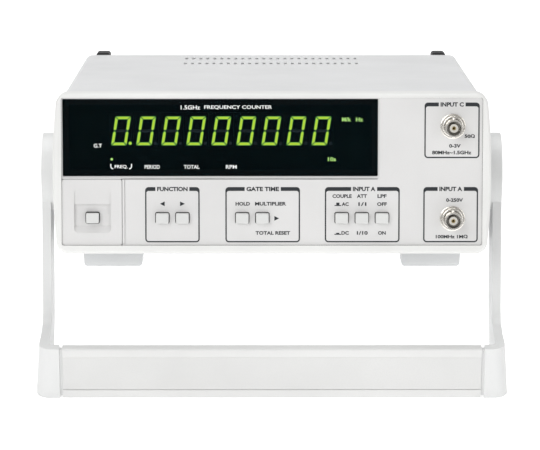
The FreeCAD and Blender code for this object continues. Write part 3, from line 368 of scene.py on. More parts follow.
# ------------------------------------------------------------------ finishes
def start_material(name: str,
                   **constants) -> tuple[bpy.types.Material, Graph, bpy.types.Node]:
    """Makes a material with one Principled BSDF.

    Args:
        name: The material's name.
        **constants: Values set on the shader's own sockets, with _ for each space.

    Returns:
        The material, its graph and its shader.
    """
    material = bpy.data.materials.new(name)
    material.use_nodes = True
    material.node_tree.nodes.clear()
    graph = Graph(material.node_tree)
    shader = graph.node("ShaderNodeBsdfPrincipled")
    graph.node("ShaderNodeOutputMaterial", {"Surface": shader.outputs[0]})
    for key, value in constants.items():
        socket = shader.inputs[key.replace("_", " ")]
        socket.default_value = (*value, 1.0) if isinstance(value, tuple) else value
    return material, graph, shader


def scaled(colour: Colour, factor: float) -> Colour:
    """A colour made lighter or darker."""
    return tuple(min(1.0, channel * factor) for channel in colour)


@dataclass(frozen=True)
class Moulding:
    """Moulded plastic, rubber or paint with a fine skin."""

    name: str
    colour: Colour
    roughness: float = 0.45
    grain: float = 2600.0
    depth: float = 0.00002
    peel: float = 0.4
    tone: float = 0.05
    worn: float = 0.5
    edge_radius: float = 0.0005
    specular: float = 0.5
    coat: float = 0.0

    def build(self) -> bpy.types.Material:
        """Makes the material: skin, slow tone and handled edges."""
        material, graph, shader = start_material(
            self.name, Specular_IOR_Level=self.specular, Coat_Roughness=0.25)
        skin = effects.place(graph, Effect.GRAIN, Scale=self.grain, Peel=self.peel)
        slow = effects.place(graph, Effect.TONE, Scale=16.0, Amount=1.0)
        edges = effects.place(graph, Effect.EDGES, Radius=self.edge_radius)
        shade = graph.ranged(slow.outputs["Tone"], -0.25, 0.25)
        body = graph.mix(shade, scaled(self.colour, 1 - self.tone),
                         scaled(self.colour, 1 + self.tone))
        pitted = graph.mix(graph.math("MULTIPLY", skin.outputs["Pits"], 0.25), body,
                           scaled(self.colour, 0.93))
        rubbed = graph.mix(graph.math("MULTIPLY", edges.outputs["Mask"], self.worn), pitted,
                           scaled(self.colour, 1.12))
        smudged = graph.math("MULTIPLY_ADD", slow.outputs["Smudge"], -0.07, self.roughness)
        gloss = graph.math("MULTIPLY_ADD", edges.outputs["Mask"], -0.12 * self.worn, smudged)
        graph.feed(shader, Base_Color=rubbed, Roughness=gloss,
                   Normal=graph.bump(skin.outputs["Height"], self.depth))
        if self.coat:
            coat = graph.ranged(skin.outputs["Pits"], 0.0, 1.0, self.coat, self.coat * 0.5)
            graph.feed(shader, Coat_Weight=coat)
        return material


@dataclass(frozen=True)
class Plating:
    """Bare or plated metal with fine working lines."""

    name: str
    colour: Colour
    roughness: float = 0.25
    lines: float = 900.0
    stretch: float = 24.0
    depth: float = 0.000004
    tarnish: Colour = (0.5, 0.46, 0.38)
    worn: float = 0.4
    # How strongly the painted shade darkens the metal's recesses.
    recess_shade: float = 0.9

    def build(self) -> bpy.types.Material:
        """Makes the material: working lines, cloudy plating, bright edges, painted shade with
        tarnish in the recesses.
        """
        material, graph, shader = start_material(self.name, Metallic=1.0)
        brush = effects.place(graph, Effect.BRUSH, Scale=self.lines, Stretch=self.stretch)
        edges = effects.place(graph, Effect.EDGES, Radius=0.0003)
        cloudy = graph.ranged(brush.outputs["Clouds"], 0.4, 0.75, 0.0, 0.35)
        body = graph.mix(cloudy, self.colour, self.tarnish)
        # Painted shade in the recesses, with tarnish: the metal darkens towards near black where
        # other faces stand close.
        recess_shade = effects.place(graph, Effect.PAINTED_RECESS_SHADE, Distance=0.003)
        sunk = graph.mix(graph.math("MULTIPLY", recess_shade.outputs["Mask"], self.recess_shade), body,
                         scaled(self.tarnish, 0.1))
        bright = graph.mix(graph.math("MULTIPLY", edges.outputs["Mask"], self.worn), sunk,
                           scaled(self.colour, 1.2))
        rough = graph.ranged(brush.outputs["Lines"], 0.2, 0.8, self.roughness * 0.8,
                             self.roughness * 1.35)
        graph.feed(shader, Base_Color=bright, Roughness=rough,
                   Normal=graph.bump(brush.outputs["Lines"], self.depth, 0.8))
        return material


@dataclass(frozen=True)
class Ink:
    """Screen-printed ink: nearly flat, with a slightly broken film."""

    name: str
    colour: Colour
    roughness: float = 0.5
    depth: float = 0.000008

    def build(self) -> bpy.types.Material:
        """Makes the material: an even film with faint thin spots."""
        material, graph, shader = start_material(self.name)
        film = effects.place(graph, Effect.GRAIN, Scale=4200.0, Peel=0.2)
        slow = effects.place(graph, Effect.TONE, Scale=60.0, Amount=1.0)
        shade = graph.ranged(slow.outputs["Tone"], -0.2, 0.2)
        body = graph.mix(shade, scaled(self.colour, 0.9), scaled(self.colour, 1.1))
        thin = graph.mix(graph.math("MULTIPLY", film.outputs["Pits"], 0.2), body,
                         scaled(self.colour, 0.75))
        rough = graph.ranged(film.outputs["Height"], 0.3, 1.2, self.roughness - 0.05,
                             self.roughness + 0.1)
        graph.feed(shader, Base_Color=thin, Roughness=rough,
                   Normal=graph.bump(film.outputs["Height"], self.depth, 0.6))
        return material


@dataclass(frozen=True)
class LitResin:
    """Diffusing resin lit from behind: a bright core inside a deeper rim."""

    name: str
    core: Colour
    rim: Colour
    strength: float

    def build(self) -> bpy.types.Material:
        """Makes the material: the glow follows the piece's own core attribute."""
        material, graph, shader = start_material(self.name, Roughness=0.5,
                                                 Emission_Strength=self.strength)
        core = graph.node("ShaderNodeAttribute", attribute_name="core").outputs["Fac"]
        where = graph.where()
        uneven = graph.noise(where, 320.0, 2.0)
        amount = graph.ranged(graph.math("MULTIPLY_ADD", uneven, 0.5, core), 0.25, 1.05)
        graph.feed(shader, Emission_Color=graph.mix(amount, self.rim, self.core),
                   Base_Color=graph.mix(amount, scaled(self.rim, 0.1), scaled(self.core, 0.1)))
        return material


@dataclass(frozen=True)
class SmokedWindow:
    """Smoked acrylic in front of the digits."""

    name: str
    colour: Colour
    density: float
    roughness: float = 0.06

    def build(self) -> bpy.types.Material:
        """Makes the material: dark, part see-through, with a faint film of dust."""
        material, graph, shader = start_material(self.name, Specular_IOR_Level=0.06)
        slow = effects.place(graph, Effect.TONE, Scale=9.0, Amount=1.0)
        shade = graph.ranged(slow.outputs["Tone"], -0.25, 0.25)
        body = graph.mix(shade, scaled(self.colour, 0.7), scaled(self.colour, 1.3))
        rough = graph.ranged(slow.outputs["Smudge"], 0.0, 1.0, self.roughness,
                             self.roughness + 0.05)
        see_through = graph.ranged(slow.outputs["Tone"], -0.25, 0.25, self.density - 0.01,
                                   self.density + 0.01)
        graph.feed(shader, Base_Color=body, Roughness=rough, Alpha=see_through)
        return material


@dataclass(frozen=True)
class CircuitBoard:
    """Green solder mask with tracks under it."""

    name: str
    mask: Colour
    track: Colour

    def build(self) -> bpy.types.Material:
        """Makes the material: tracks as broken squares under the mask."""
        material, graph, shader = start_material(self.name, Roughness=0.35)
        where = graph.where()
        cells = graph.node("ShaderNodeTexBrick",
                           {"Vector": where, "Scale": 160.0, "Mortar Size": 0.05,
                            "Color1": (0, 0, 0, 1), "Color2": (0.3, 0.3, 0.3, 1),
                            "Mortar": (1, 1, 1, 1)})
        slow = effects.place(graph, Effect.TONE, Scale=60.0, Amount=1.0)
        tracks = graph.math("MULTIPLY", cells.outputs["Fac"], slow.outputs["Smudge"])
        graph.feed(shader, Base_Color=graph.mix(tracks, self.mask, self.track),
                   Normal=graph.bump(tracks, 0.00003))
        return material


class Palette:
    """Every finish on the counter, each built once."""

    def __init__(self) -> None:
        """Builds the finishes."""
        makers = (
            Moulding("bezel_plastic", (0.78, 0.78, 0.765), 0.42, worn=0.35),
            Moulding("panel_plastic", (0.695, 0.69, 0.685), 0.5, depth=0.000012, worn=0.3),
            Moulding("cover_paint", (0.74, 0.745, 0.75), 0.55, 1500.0, 0.00004, worn=0.3),
            Moulding("button_plastic", (0.68, 0.685, 0.675), 0.4, depth=0.00001, worn=0.6,
                     edge_radius=0.0003),
            Moulding("handle_plastic", (0.735, 0.74, 0.735), 0.45, worn=0.35),
            Moulding("grip_plastic", (0.72, 0.72, 0.712), 0.38, worn=0.35),
            Moulding("strip_plastic", (0.68, 0.68, 0.672), 0.5, 1700.0, 0.00004),
            Moulding("foot_plastic", (0.68, 0.69, 0.695), 0.62, 1900.0, 0.00004),
            Moulding("post_rubber", (0.022, 0.022, 0.023), 0.6, 1900.0, 0.00003, specular=0.4),
            Moulding("inlet_plastic", (0.02, 0.02, 0.021), 0.35, worn=0.6),
            Moulding("mask_black", (0.008, 0.009, 0.010), 0.85, specular=0.1, worn=0.0),
            Moulding("digit_resin", (0.006, 0.009, 0.011), 0.5, specular=0.2, worn=0.0),
            Moulding("insulator", (0.60, 0.58, 0.53), 0.35, depth=0.000008),
            Moulding("coil_tape", (0.62, 0.45, 0.10), 0.4, coat=0.5),
            Moulding("capacitor_sleeve", (0.03, 0.05, 0.16), 0.3, coat=0.4),
            Moulding("chip_resin", (0.03, 0.03, 0.032), 0.6),
            Moulding("dim_segment", (0.10, 0.13, 0.17), 0.5, worn=0.0),
            Plating("nickel", (0.88, 0.85, 0.80), 0.24, recess_shade=0.7),
            Plating("contact", (0.83, 0.62, 0.28), 0.25, tarnish=(0.5, 0.36, 0.16)),
            Plating("plated_steel", (0.62, 0.62, 0.60), 0.32, 700.0, 10.0),
            Plating("lamination", (0.20, 0.20, 0.21), 0.5, 2400.0, 60.0,
                    tarnish=(0.16, 0.12, 0.09)),
            Plating("sink_aluminium", (0.09, 0.09, 0.095), 0.4, 600.0, 30.0,
                    tarnish=(0.06, 0.06, 0.065)),
            Ink("panel_ink", (0.011, 0.015, 0.019)),
            Ink("window_ink", (0.90, 0.91, 0.90)),
            LitResin("lit_digit", (0.62, 0.90, 0.06), (0.13, 0.58, 0.14), 2.9),
            LitResin("lamp_green", (0.62, 0.90, 0.30), (0.50, 0.86, 0.24), 3.6),
            SmokedWindow("window_smoke", (0.0004, 0.0042, 0.0056), 0.5),
            CircuitBoard("board", (0.02, 0.12, 0.05), (0.06, 0.22, 0.09)),
        )
        self.built = {maker.name: maker.build() for maker in makers}

    def dress(self, piece: bpy.types.Object, finish: str) -> None:
        """Gives a piece one finish over all of its faces."""
        piece.data.materials.clear()
        piece.data.materials.append(self.built[finish])


# ------------------------------------------------------------------ mesh helpers
def add_object(name: str, mesh: bpy.types.Mesh) -> bpy.types.Object:
    """Links a mesh into the scene as an object."""
    made = bpy.data.objects.new(name, mesh)
    bpy.context.scene.collection.objects.link(made)
    return made


def finish_mesh(name: str, shape: bmesh.types.BMesh, place: Matrix,
                smooth: bool = True) -> bpy.types.Object:
    """Turns a bmesh drawn in case millimetres into an object in the shared frame.

    Args:
        name: The object's name.
        shape: The mesh, which is freed.
        place: The case's matrix.
        smooth: Whether faces are shaded smooth.

    Returns:
        The new object.
    """
    bmesh.ops.transform(shape, matrix=place, verts=shape.verts)
    bmesh.ops.recalc_face_normals(shape, faces=shape.faces)
    mesh = bpy.data.meshes.new(name)
    shape.to_mesh(mesh)
    shape.free()
    for polygon in mesh.polygons:
        polygon.use_smooth = smooth
    return add_object(name, mesh)


def arc(x: float, z: float, radius: float, start: float, end: float, steps: int = 6) -> Loop:
    """Points along an arc.

    Args:
        x: Centre across.
        z: Centre up.
        radius: The arc's radius.
        start: First angle in degrees, from +x towards +z.
        end: Last angle in degrees.
        steps: How many chords stand for the arc.

    Returns:
        The points, first and last included.
    """
    angles = [math.radians(start + (end - start) * step / steps) for step in range(steps + 1)]
    return [(x + radius * math.cos(angle), z + radius * math.sin(angle)) for angle in angles]


def rectangle(x0: float, x1: float, z0: float, z1: float) -> Loop:
    """A rectangle with square corners, anticlockwise."""
    return [(x0, z0), (x1, z0), (x1, z1), (x0, z1)]


def rounded(x0: float, x1: float, z0: float, z1: float, radius: float) -> Loop:
    """A rectangle with rounded corners, anticlockwise."""
    turns = ((x1 - radius, z1 - radius, 0), (x0 + radius, z1 - radius, 90),
             (x0 + radius, z0 + radius, 180), (x1 - radius, z0 + radius, 270))
    return [point for x, z, start in turns for point in arc(x, z, radius, start, start + 90)]


class Anchor(Enum):
    """Which point of a line of lettering is placed."""

    LEFT = 0.0
    CENTRE = 0.5


@dataclass
class Artwork:
    """Flat artwork on a plane square to the case's depth, cut as thin closed plates."""

    name: str
    case: CaseFrame
    depth: float
    thickness: float = 0.05
    shape: bmesh.types.BMesh = field(default_factory=bmesh.new)

    def _add(self, curve: bpy.types.Curve, place: Matrix) -> None:
        """Cuts a filled curve and adds it to the artwork.

        Args:
            curve: A flat curve drawn across and up.
            place: Its place across and up, with its scale.
        """
        curve.extrude = self.thickness / 2
        holder = bpy.data.objects.new(self.name + "_cut", curve)
        mesh = bpy.data.meshes.new_from_object(holder)
        upright = Matrix(((1, 0, 0, 0), (0, 0, -1, self.depth), (0, 1, 0, 0), (0, 0, 0, 1)))
        mesh.transform(upright @ place)
        self.shape.from_mesh(mesh)
        bpy.data.objects.remove(holder)
        bpy.data.meshes.remove(mesh)
        bpy.data.curves.remove(curve)

    def outline(self, *loops: Loop) -> None:
        """Adds a filled shape; loops inside the first are holes."""
        curve = bpy.data.curves.new(self.name, "CURVE")
        curve.dimensions = "2D"
        curve.fill_mode = "BOTH"
        for loop in loops:
            spline = curve.splines.new("POLY")
            spline.points.add(len(loop) - 1)
            for point, (x, z) in zip(spline.points, loop):
                point.co = (x, z, 0.0, 1.0)
            spline.use_cyclic_u = True
        self._add(curve, Matrix.Identity(4))

    def bar(self, x0: float, x1: float, z0: float, z1: float) -> None:
        """Adds a plain bar between two corners."""
        self.outline(rectangle(x0, x1, z0, z1))

    def stroke(self, points: Loop, width: float) -> None:
        """Adds a line of even width along points.

        Args:
            points: The line's middle.
            width: The line's width.
        """
        left, right = [], []
        for index, (x, z) in enumerate(points):
            before = points[max(index - 1, 0)]
            after = points[min(index + 1, len(points) - 1)]
            run = Vector((after[0] - before[0], after[1] - before[1])).normalized()
            left.append((x - run.y * width / 2, z + run.x * width / 2))
            right.append((x + run.y * width / 2, z - run.x * width / 2))
        self.outline(left + right[::-1])

    def text(self, words: str, x: float, z: float, height: float,
             width: Optional[float] = None, anchor: Anchor = Anchor.CENTRE,
             weight: float = 0.036) -> None:
        """Adds a line of plain capital lettering.

        Args:
            words: The lettering.
            x: Where its anchor stands across.
            z: The middle of its height.
            height: How tall it is.
            width: How wide it is, or None for its natural width.
            anchor: Which point stands at x.
            weight: How much each stroke is thickened, as a share of the size.
        """
        curve = bpy.data.curves.new(self.name, "FONT")
        curve.body = words
        curve.offset = weight
        curve.resolution_u = 3
        holder = bpy.data.objects.new(self.name + "_measure", curve)
        sample = bpy.data.meshes.new_from_object(holder)
        across = [vertex.co.x for vertex in sample.vertices]
        upward = [vertex.co.y for vertex in sample.vertices]
        bpy.data.objects.remove(holder)
        bpy.data.meshes.remove(sample)
        scale_z = height / (max(upward) - min(upward))
        scale_x = scale_z if width is None else width / (max(across) - min(across))
        span = (max(across) - min(across)) * scale_x
        move = Matrix.Translation((x - anchor.value * span - min(across) * scale_x,
                                   z - height / 2 - min(upward) * scale_z, 0.0))
        self._add(curve, move @ Matrix.Diagonal((scale_x, scale_z, 1.0, 1.0)))

    def build(self, palette: Palette, finish: str, slot: str) -> None:
        """Makes the artwork's object and fixes it to the case.

        Args:
            palette: The finishes.
            finish: The ink's finish.
            slot: Not used.
        """
        bmesh.ops.remove_doubles(self.shape, verts=self.shape.verts, dist=1e-5)
        piece = finish_mesh(self.name, self.shape, self.case.matrix, smooth=False)
        palette.dress(piece, finish)
        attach(piece, CASE)
        log.info("%s: %d faces", self.name, len(piece.data.polygons))


# ------------------------------------------------------------------ carried-over nodes
@dataclass(frozen=True)
class NodeDress:
    """A finish and a rounding for nodes whose shape is already right."""

    finish: str
    nodes: tuple[str, ...]
    rounding: float = 0.0


class CarriedNodes:
    """Dresses the nodes that stay as they are."""

    SEGMENTS = 2
    SHARP = math.radians(35)
    DRESSES = (
        NodeDress("bezel_plastic", ("front_bezel",), 0.3),
        NodeDress("panel_plastic", ("front_panel", "power_panel"), 0.2),
        NodeDress("cover_paint", ("top_cover", "bottom_cover", "rear_panel")),
        NodeDress("button_plastic", KEYS, 0.15),
        NodeDress("handle_plastic", ("handle_arm_left", "handle_arm_right", "handle_hubs"), 0.4),
        NodeDress("grip_plastic", ("handle_grip", "hub_caps"), 0.25),
        NodeDress("strip_plastic", ("grip_insert",), 0.15),
        NodeDress("foot_plastic", ("front_feet", "rear_feet"), 0.3),
        NodeDress("post_rubber", ("cord_posts",), 0.4),
        NodeDress("inlet_plastic", ("mains_inlet", "fuse_drawer"), 0.25),
        NodeDress("mask_black", ("display_mask", "key_switches", "power_switch")),
        NodeDress("digit_resin", ("led_digits", "legend_lamps")),
        NodeDress("window_smoke", ("display_window",), 0.2),
        NodeDress("nickel", ("input_a_shell", "input_c_shell", "inlet_pins",
                             "board_standoffs"), 0.12),
        NodeDress("insulator", ("input_a_insulator", "input_c_insulator"), 0.1),
        NodeDress("contact", ("input_a_contact", "input_c_contact"), 0.08),
        NodeDress("plated_steel", ("side_frame_left", "side_frame_right", "foot_screws",
                                   "cord_post_screws", "cover_screws", "hub_screws",
                                   "grip_screws", "crystal_oscillator", "input_a_shield",
                                   "prescaler_shield"), 0.12),
        NodeDress("board", ("switch_board", "display_board", "main_board"), 0.1),
        NodeDress("lamination", ("transformer_core",), 0.3),
        NodeDress("coil_tape", ("transformer_winding",), 0.4),
        NodeDress("capacitor_sleeve", ("filter_capacitors",), 0.8),
        NodeDress("sink_aluminium", ("heat_sink",), 0.2),
        NodeDress("chip_resin", ("voltage_regulators", "logic_chips"), 0.2),
    )

    def __init__(self, palette: Palette) -> None:
        """Keeps the finishes."""
        self.palette = palette

    def _round(self, node: bpy.types.Object, dress: NodeDress) -> None:
        """Rounds a node's sharp edges with modifiers and evens its shading.

        Args:
            node: The node's object.
            dress: Its finish and rounding.
        """
        weld = node.modifiers.new("weld", "WELD")
        weld.merge_threshold = 1e-6
        bevel = node.modifiers.new("rounding", "BEVEL")
        bevel.width = dress.rounding * MM
        bevel.segments = self.SEGMENTS
        bevel.limit_method = "ANGLE"
        bevel.angle_limit = self.SHARP
        bevel.use_clamp_overlap = True
        even = node.modifiers.new("shading", "WEIGHTED_NORMAL")
        even.keep_sharp = True

    def build(self) -> None:
        """Dresses every node."""
        for dress in self.DRESSES:
            for name in dress.nodes:
                node = frame["nodes"][name]
                self.palette.dress(node, dress.finish)
                if dress.rounding:
                    self._round(node, dress)
            log.info("%s on %s", dress.finish, ", ".join(dress.nodes))


# ------------------------------------------------------------------ digits
@dataclass
class DigitRow:
    """The slanted seven-segment digits behind the window."""

    case: CaseFrame
    palette: Palette
    width: float = 8.9
    height: float = 16.6
    stroke: float = 1.7
    slant: float = 0.16
    gap: float = 0.22
    proud: float = 0.4
    shoulder: float = 0.25
    crown: float = 0.3
    point_across: float = 5.2
    point_down: float = 7.1
    point_radius: float = 1.0

    def _segments(self) -> dict[str, Loop]:
        """Outlines of the seven segments, upright, about the digit's middle."""
        half_w = self.width / 2
        half_h = self.height / 2
        mid = self.stroke / 2
        cut = self.gap / math.sqrt(2)
        across = [(-half_w + mid + cut + mid, -mid), (-half_w + mid + cut, 0.0),
                  (-half_w + mid + cut + mid, mid), (half_w - mid - cut - mid, mid),
                  (half_w - mid - cut, 0.0), (half_w - mid - cut - mid, -mid)]
        top = [(-half_w + cut + self.gap, half_h), (half_w - cut - self.gap, half_h),
               (half_w - self.stroke - cut, half_h - self.stroke),
               (-half_w + self.stroke + cut, half_h - self.stroke)]
        inner = half_w - self.stroke
        upper = [(half_w, half_h - cut - self.gap), (inner, half_h - self.stroke - cut),
                 (inner, mid + cut), (half_w - mid, cut), (half_w, mid + cut)]
        flip_x: Callable[[Loop], Loop] = lambda loop: [(-x, z) for x, z in loop]
        flip_z: Callable[[Loop], Loop] = lambda loop: [(x, -z) for x, z in loop]
        return {"a": top, "b": upper, "c": flip_z(upper), "d": flip_z(top),
                "e": flip_z(flip_x(upper)), "f": flip_x(upper), "g": across}

    def _bar(self, shape: bmesh.types.BMesh, loop: Loop, centre: Vector, face: float,
             slant: float, crown: float) -> None:
        """Adds one domed bar whose core attribute is 1 along its crown.

        Args:
            shape: The mesh that takes it.
            loop: Its upright outline about its centre.
            centre: Its centre.
            face: Depth of the digit block's face.
            slant: How far it leans over, per unit of height.
            crown: How far the crown stands in from the outline.
        """
        core = shape.verts.layers.float.get("core") or shape.verts.layers.float.new("core")
        rings = []
        for depth, inset, glow in ((0.0, 0.0, 0.0), (self.shoulder, 0.0, 0.0),
                                   (self.proud, crown, 1.0)):
            ring = []
            for x, z in loop:
                short = self._pulled(Vector((x, z)), loop, inset) if inset else Vector((x, z))
                vert = shape.verts.new((centre.x + short.x + slant * short.y,
                                        face - depth, centre.z + short.y))
                vert[core] = glow
                ring.append(vert)
            rings.append(ring)
        for lower, upper in zip(rings, rings[1:]):
            for index in range(len(loop)):
                after = (index + 1) % len(loop)
                shape.faces.new((lower[index], lower[after], upper[after], upper[index]))
        shape.faces.new(rings[0][::-1])
        shape.faces.new(rings[-1])

    @staticmethod
    def _pulled(point: Vector, loop: Loop, inset: float) -> Vector:
        """Moves an outline's corner inwards by the same distance from both of its sides.

        Args:
            point: The corner.
            loop: The outline.
            inset: The distance.

        Returns:
            The moved corner.
        """
        corners = [Vector(corner) for corner in loop]
        index = corners.index(point)
        before = (point - corners[index - 1]).normalized()
        after = (corners[(index + 1) % len(corners)] - point).normalized()
        middle = sum(corners, Vector((0.0, 0.0))) / len(corners)
        normals = []
        for start, run in ((corners[index - 1], before), (point, after)):
            normal = Vector((-run.y, run.x))
            normals.append(normal if normal.dot(middle - start) > 0 else -normal)
        bisector = (normals[0] + normals[1]).normalized()
        return point + bisector * (inset / max(bisector.dot(normals[0]), 0.35))

    def _point(self, shape: bmesh.types.BMesh, centre: Vector, face: float) -> None:
        """Adds one round decimal point to the lower right of a digit."""
        loop = arc(0.0, 0.0, self.point_radius, 0, 330, 11)
        spot = centre + Vector((self.point_across, 0.0, -self.point_down))
        self._bar(shape, loop, spot, face, 0.0, self.point_radius / 2)

    def build(self) -> None:
        """Makes the lit and the unlit segments of every digit."""
        lit, unlit = bmesh.new(), bmesh.new()
        for index, block in enumerate(self.case.boxes("led_digits")):
            centre, face = block.centre, block.low.y
            for name, loop in self._segments().items():
                self._bar(unlit if name == "g" else lit, loop, centre, face, self.slant,
                          self.stroke * self.crown)
            self._point(unlit if index else lit, centre, face)
        for name, shape, finish in (("lit_segments", lit, "lit_digit"),
                                    ("unlit_segments", unlit, "dim_segment")):
            piece = finish_mesh(name, shape, self.case.matrix, smooth=False)
            self.palette.dress(piece, finish)
            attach(piece, CASE)
            log.info("%s made", name)


# ------------------------------------------------------------------ window print
@dataclass
class WindowPrint:
    """White lettering on the window and the lit legends behind it."""

    case: CaseFrame
    palette: Palette
    film: float = 0.03
    border: float = 3.4
    title_height: float = 2.4
    title_drop: float = 4.8
    range_left: float = 67.3
    range_width: float = 11.0
    title_left: float = 80.7
    title_width: float = 38.6
    label_height: float = 2.2
    label_drop: float = 4.0
    label_past: float = 5.5
    gate_across: float = 20.0
    gate_up: float = 17.4
    gate_width: float = 4.6
    hook_reach: float = 5.9
    hook_radius: float = 1.4
    hook_line: float = 0.55
    lit_height: float = 2.3
    lit_point: float = 0.75
    print_weight: float = 0.016
    lit_weight: float = 0.03

    def _functions(self, art: Artwork, lamps: Sequence[Box]) -> None:
        """Names the four functions under their lamps, with hooks round the first.

        Args:
            art: The white artwork.
            lamps: The function lamps' boxes.
        """
        z = lamps[0].centre.z - self.label_drop
        for lamp, (words, width) in zip(lamps, (("FREQ.", 7.4), ("PERIOD", 8.6),
                                                ("TOTAL", 9.0), ("RPM", 6.2))):
            art.text(words, lamp.centre.x + self.label_past, z, self.label_height, width,
                     weight=self.print_weight)
        x = lamps[0].centre.x + self.label_past
        hook = self.hook_radius
        foot = z - self.label_height / 2
        for side in (-1, 1):
            top = [(x + side * self.hook_reach, foot + 2 * hook),
                   (x + side * self.hook_reach, foot + hook)]
            turn = arc(x + side * (self.hook_reach - hook), foot + hook, hook,
                       0 if side > 0 else 180, -90 if side > 0 else 270, 5)
            art.stroke(top + turn[1:], self.hook_line)

    def build(self) -> None:
        """Makes the white print and the lit legends."""
        window = self.case.box("display_window")
        lamps = self.case.boxes("legend_lamps")
        functions, (gate, *units) = lamps[:4], lamps[4:]
        back = Artwork("window_border", self.case, window.high.y - 2 * self.film)
        low, high, pull = window.low, window.high, self.border
        back.outline(rectangle(low.x, high.x, low.z, high.z),
                     rectangle(low.x + pull, high.x - pull, low.z + pull, high.z - pull)[::-1])
        back.build(self.palette, "mask_black", "mask_black")
        art = Artwork("window_print", self.case, window.low.y - self.film)
        for words, across, width in (("1.5GHz", self.range_left, self.range_width),
                                     ("FREQUENCY COUNTER", self.title_left,
                                      self.title_width)):
            art.text(words, low.x + across, high.z - self.title_drop, self.title_height, width,
                     Anchor.LEFT, self.print_weight)
        art.text("G.T", low.x + self.gate_across, low.z + self.gate_up, self.label_height,
                 self.gate_width, weight=self.print_weight)
        self._functions(art, functions)
        art.build(self.palette, "window_ink", "insulator")
        legends = Artwork("lit_legends", self.case, gate.low.y - self.film, 0.1)
        legends.text("10s", gate.centre.x, gate.centre.z, self.lit_height, 4.6,
                     weight=self.lit_weight)
        for lamp, words, width in zip(units, ("M/k", "Hz"), (5.2, 4.0)):
            legends.text(words, lamp.centre.x, lamp.centre.z, self.lit_height, width,
                         weight=self.lit_weight)
        first = functions[0].centre
        legends.outline(arc(first.x, first.z, self.lit_point, 0, 330, 11))
        legends.build(self.palette, "lamp_green", "lamp_green")


# ------------------------------------------------------------------ panel print
@dataclass(frozen=True)
class Label:
    """A line of panel lettering, placed from the middle of a key or a jack's nut."""

    words: str
    across: float
    up: float
    width: float
    anchor: Anchor = Anchor.CENTRE


@dataclass(frozen=True)
class TitledBox:
    """A box round some pieces, reaching out past the middles of the first and the last."""

    title: str
    title_width: float
    first: str
    last: str
    left: float
    right: float
    title_shift: float = 0.0


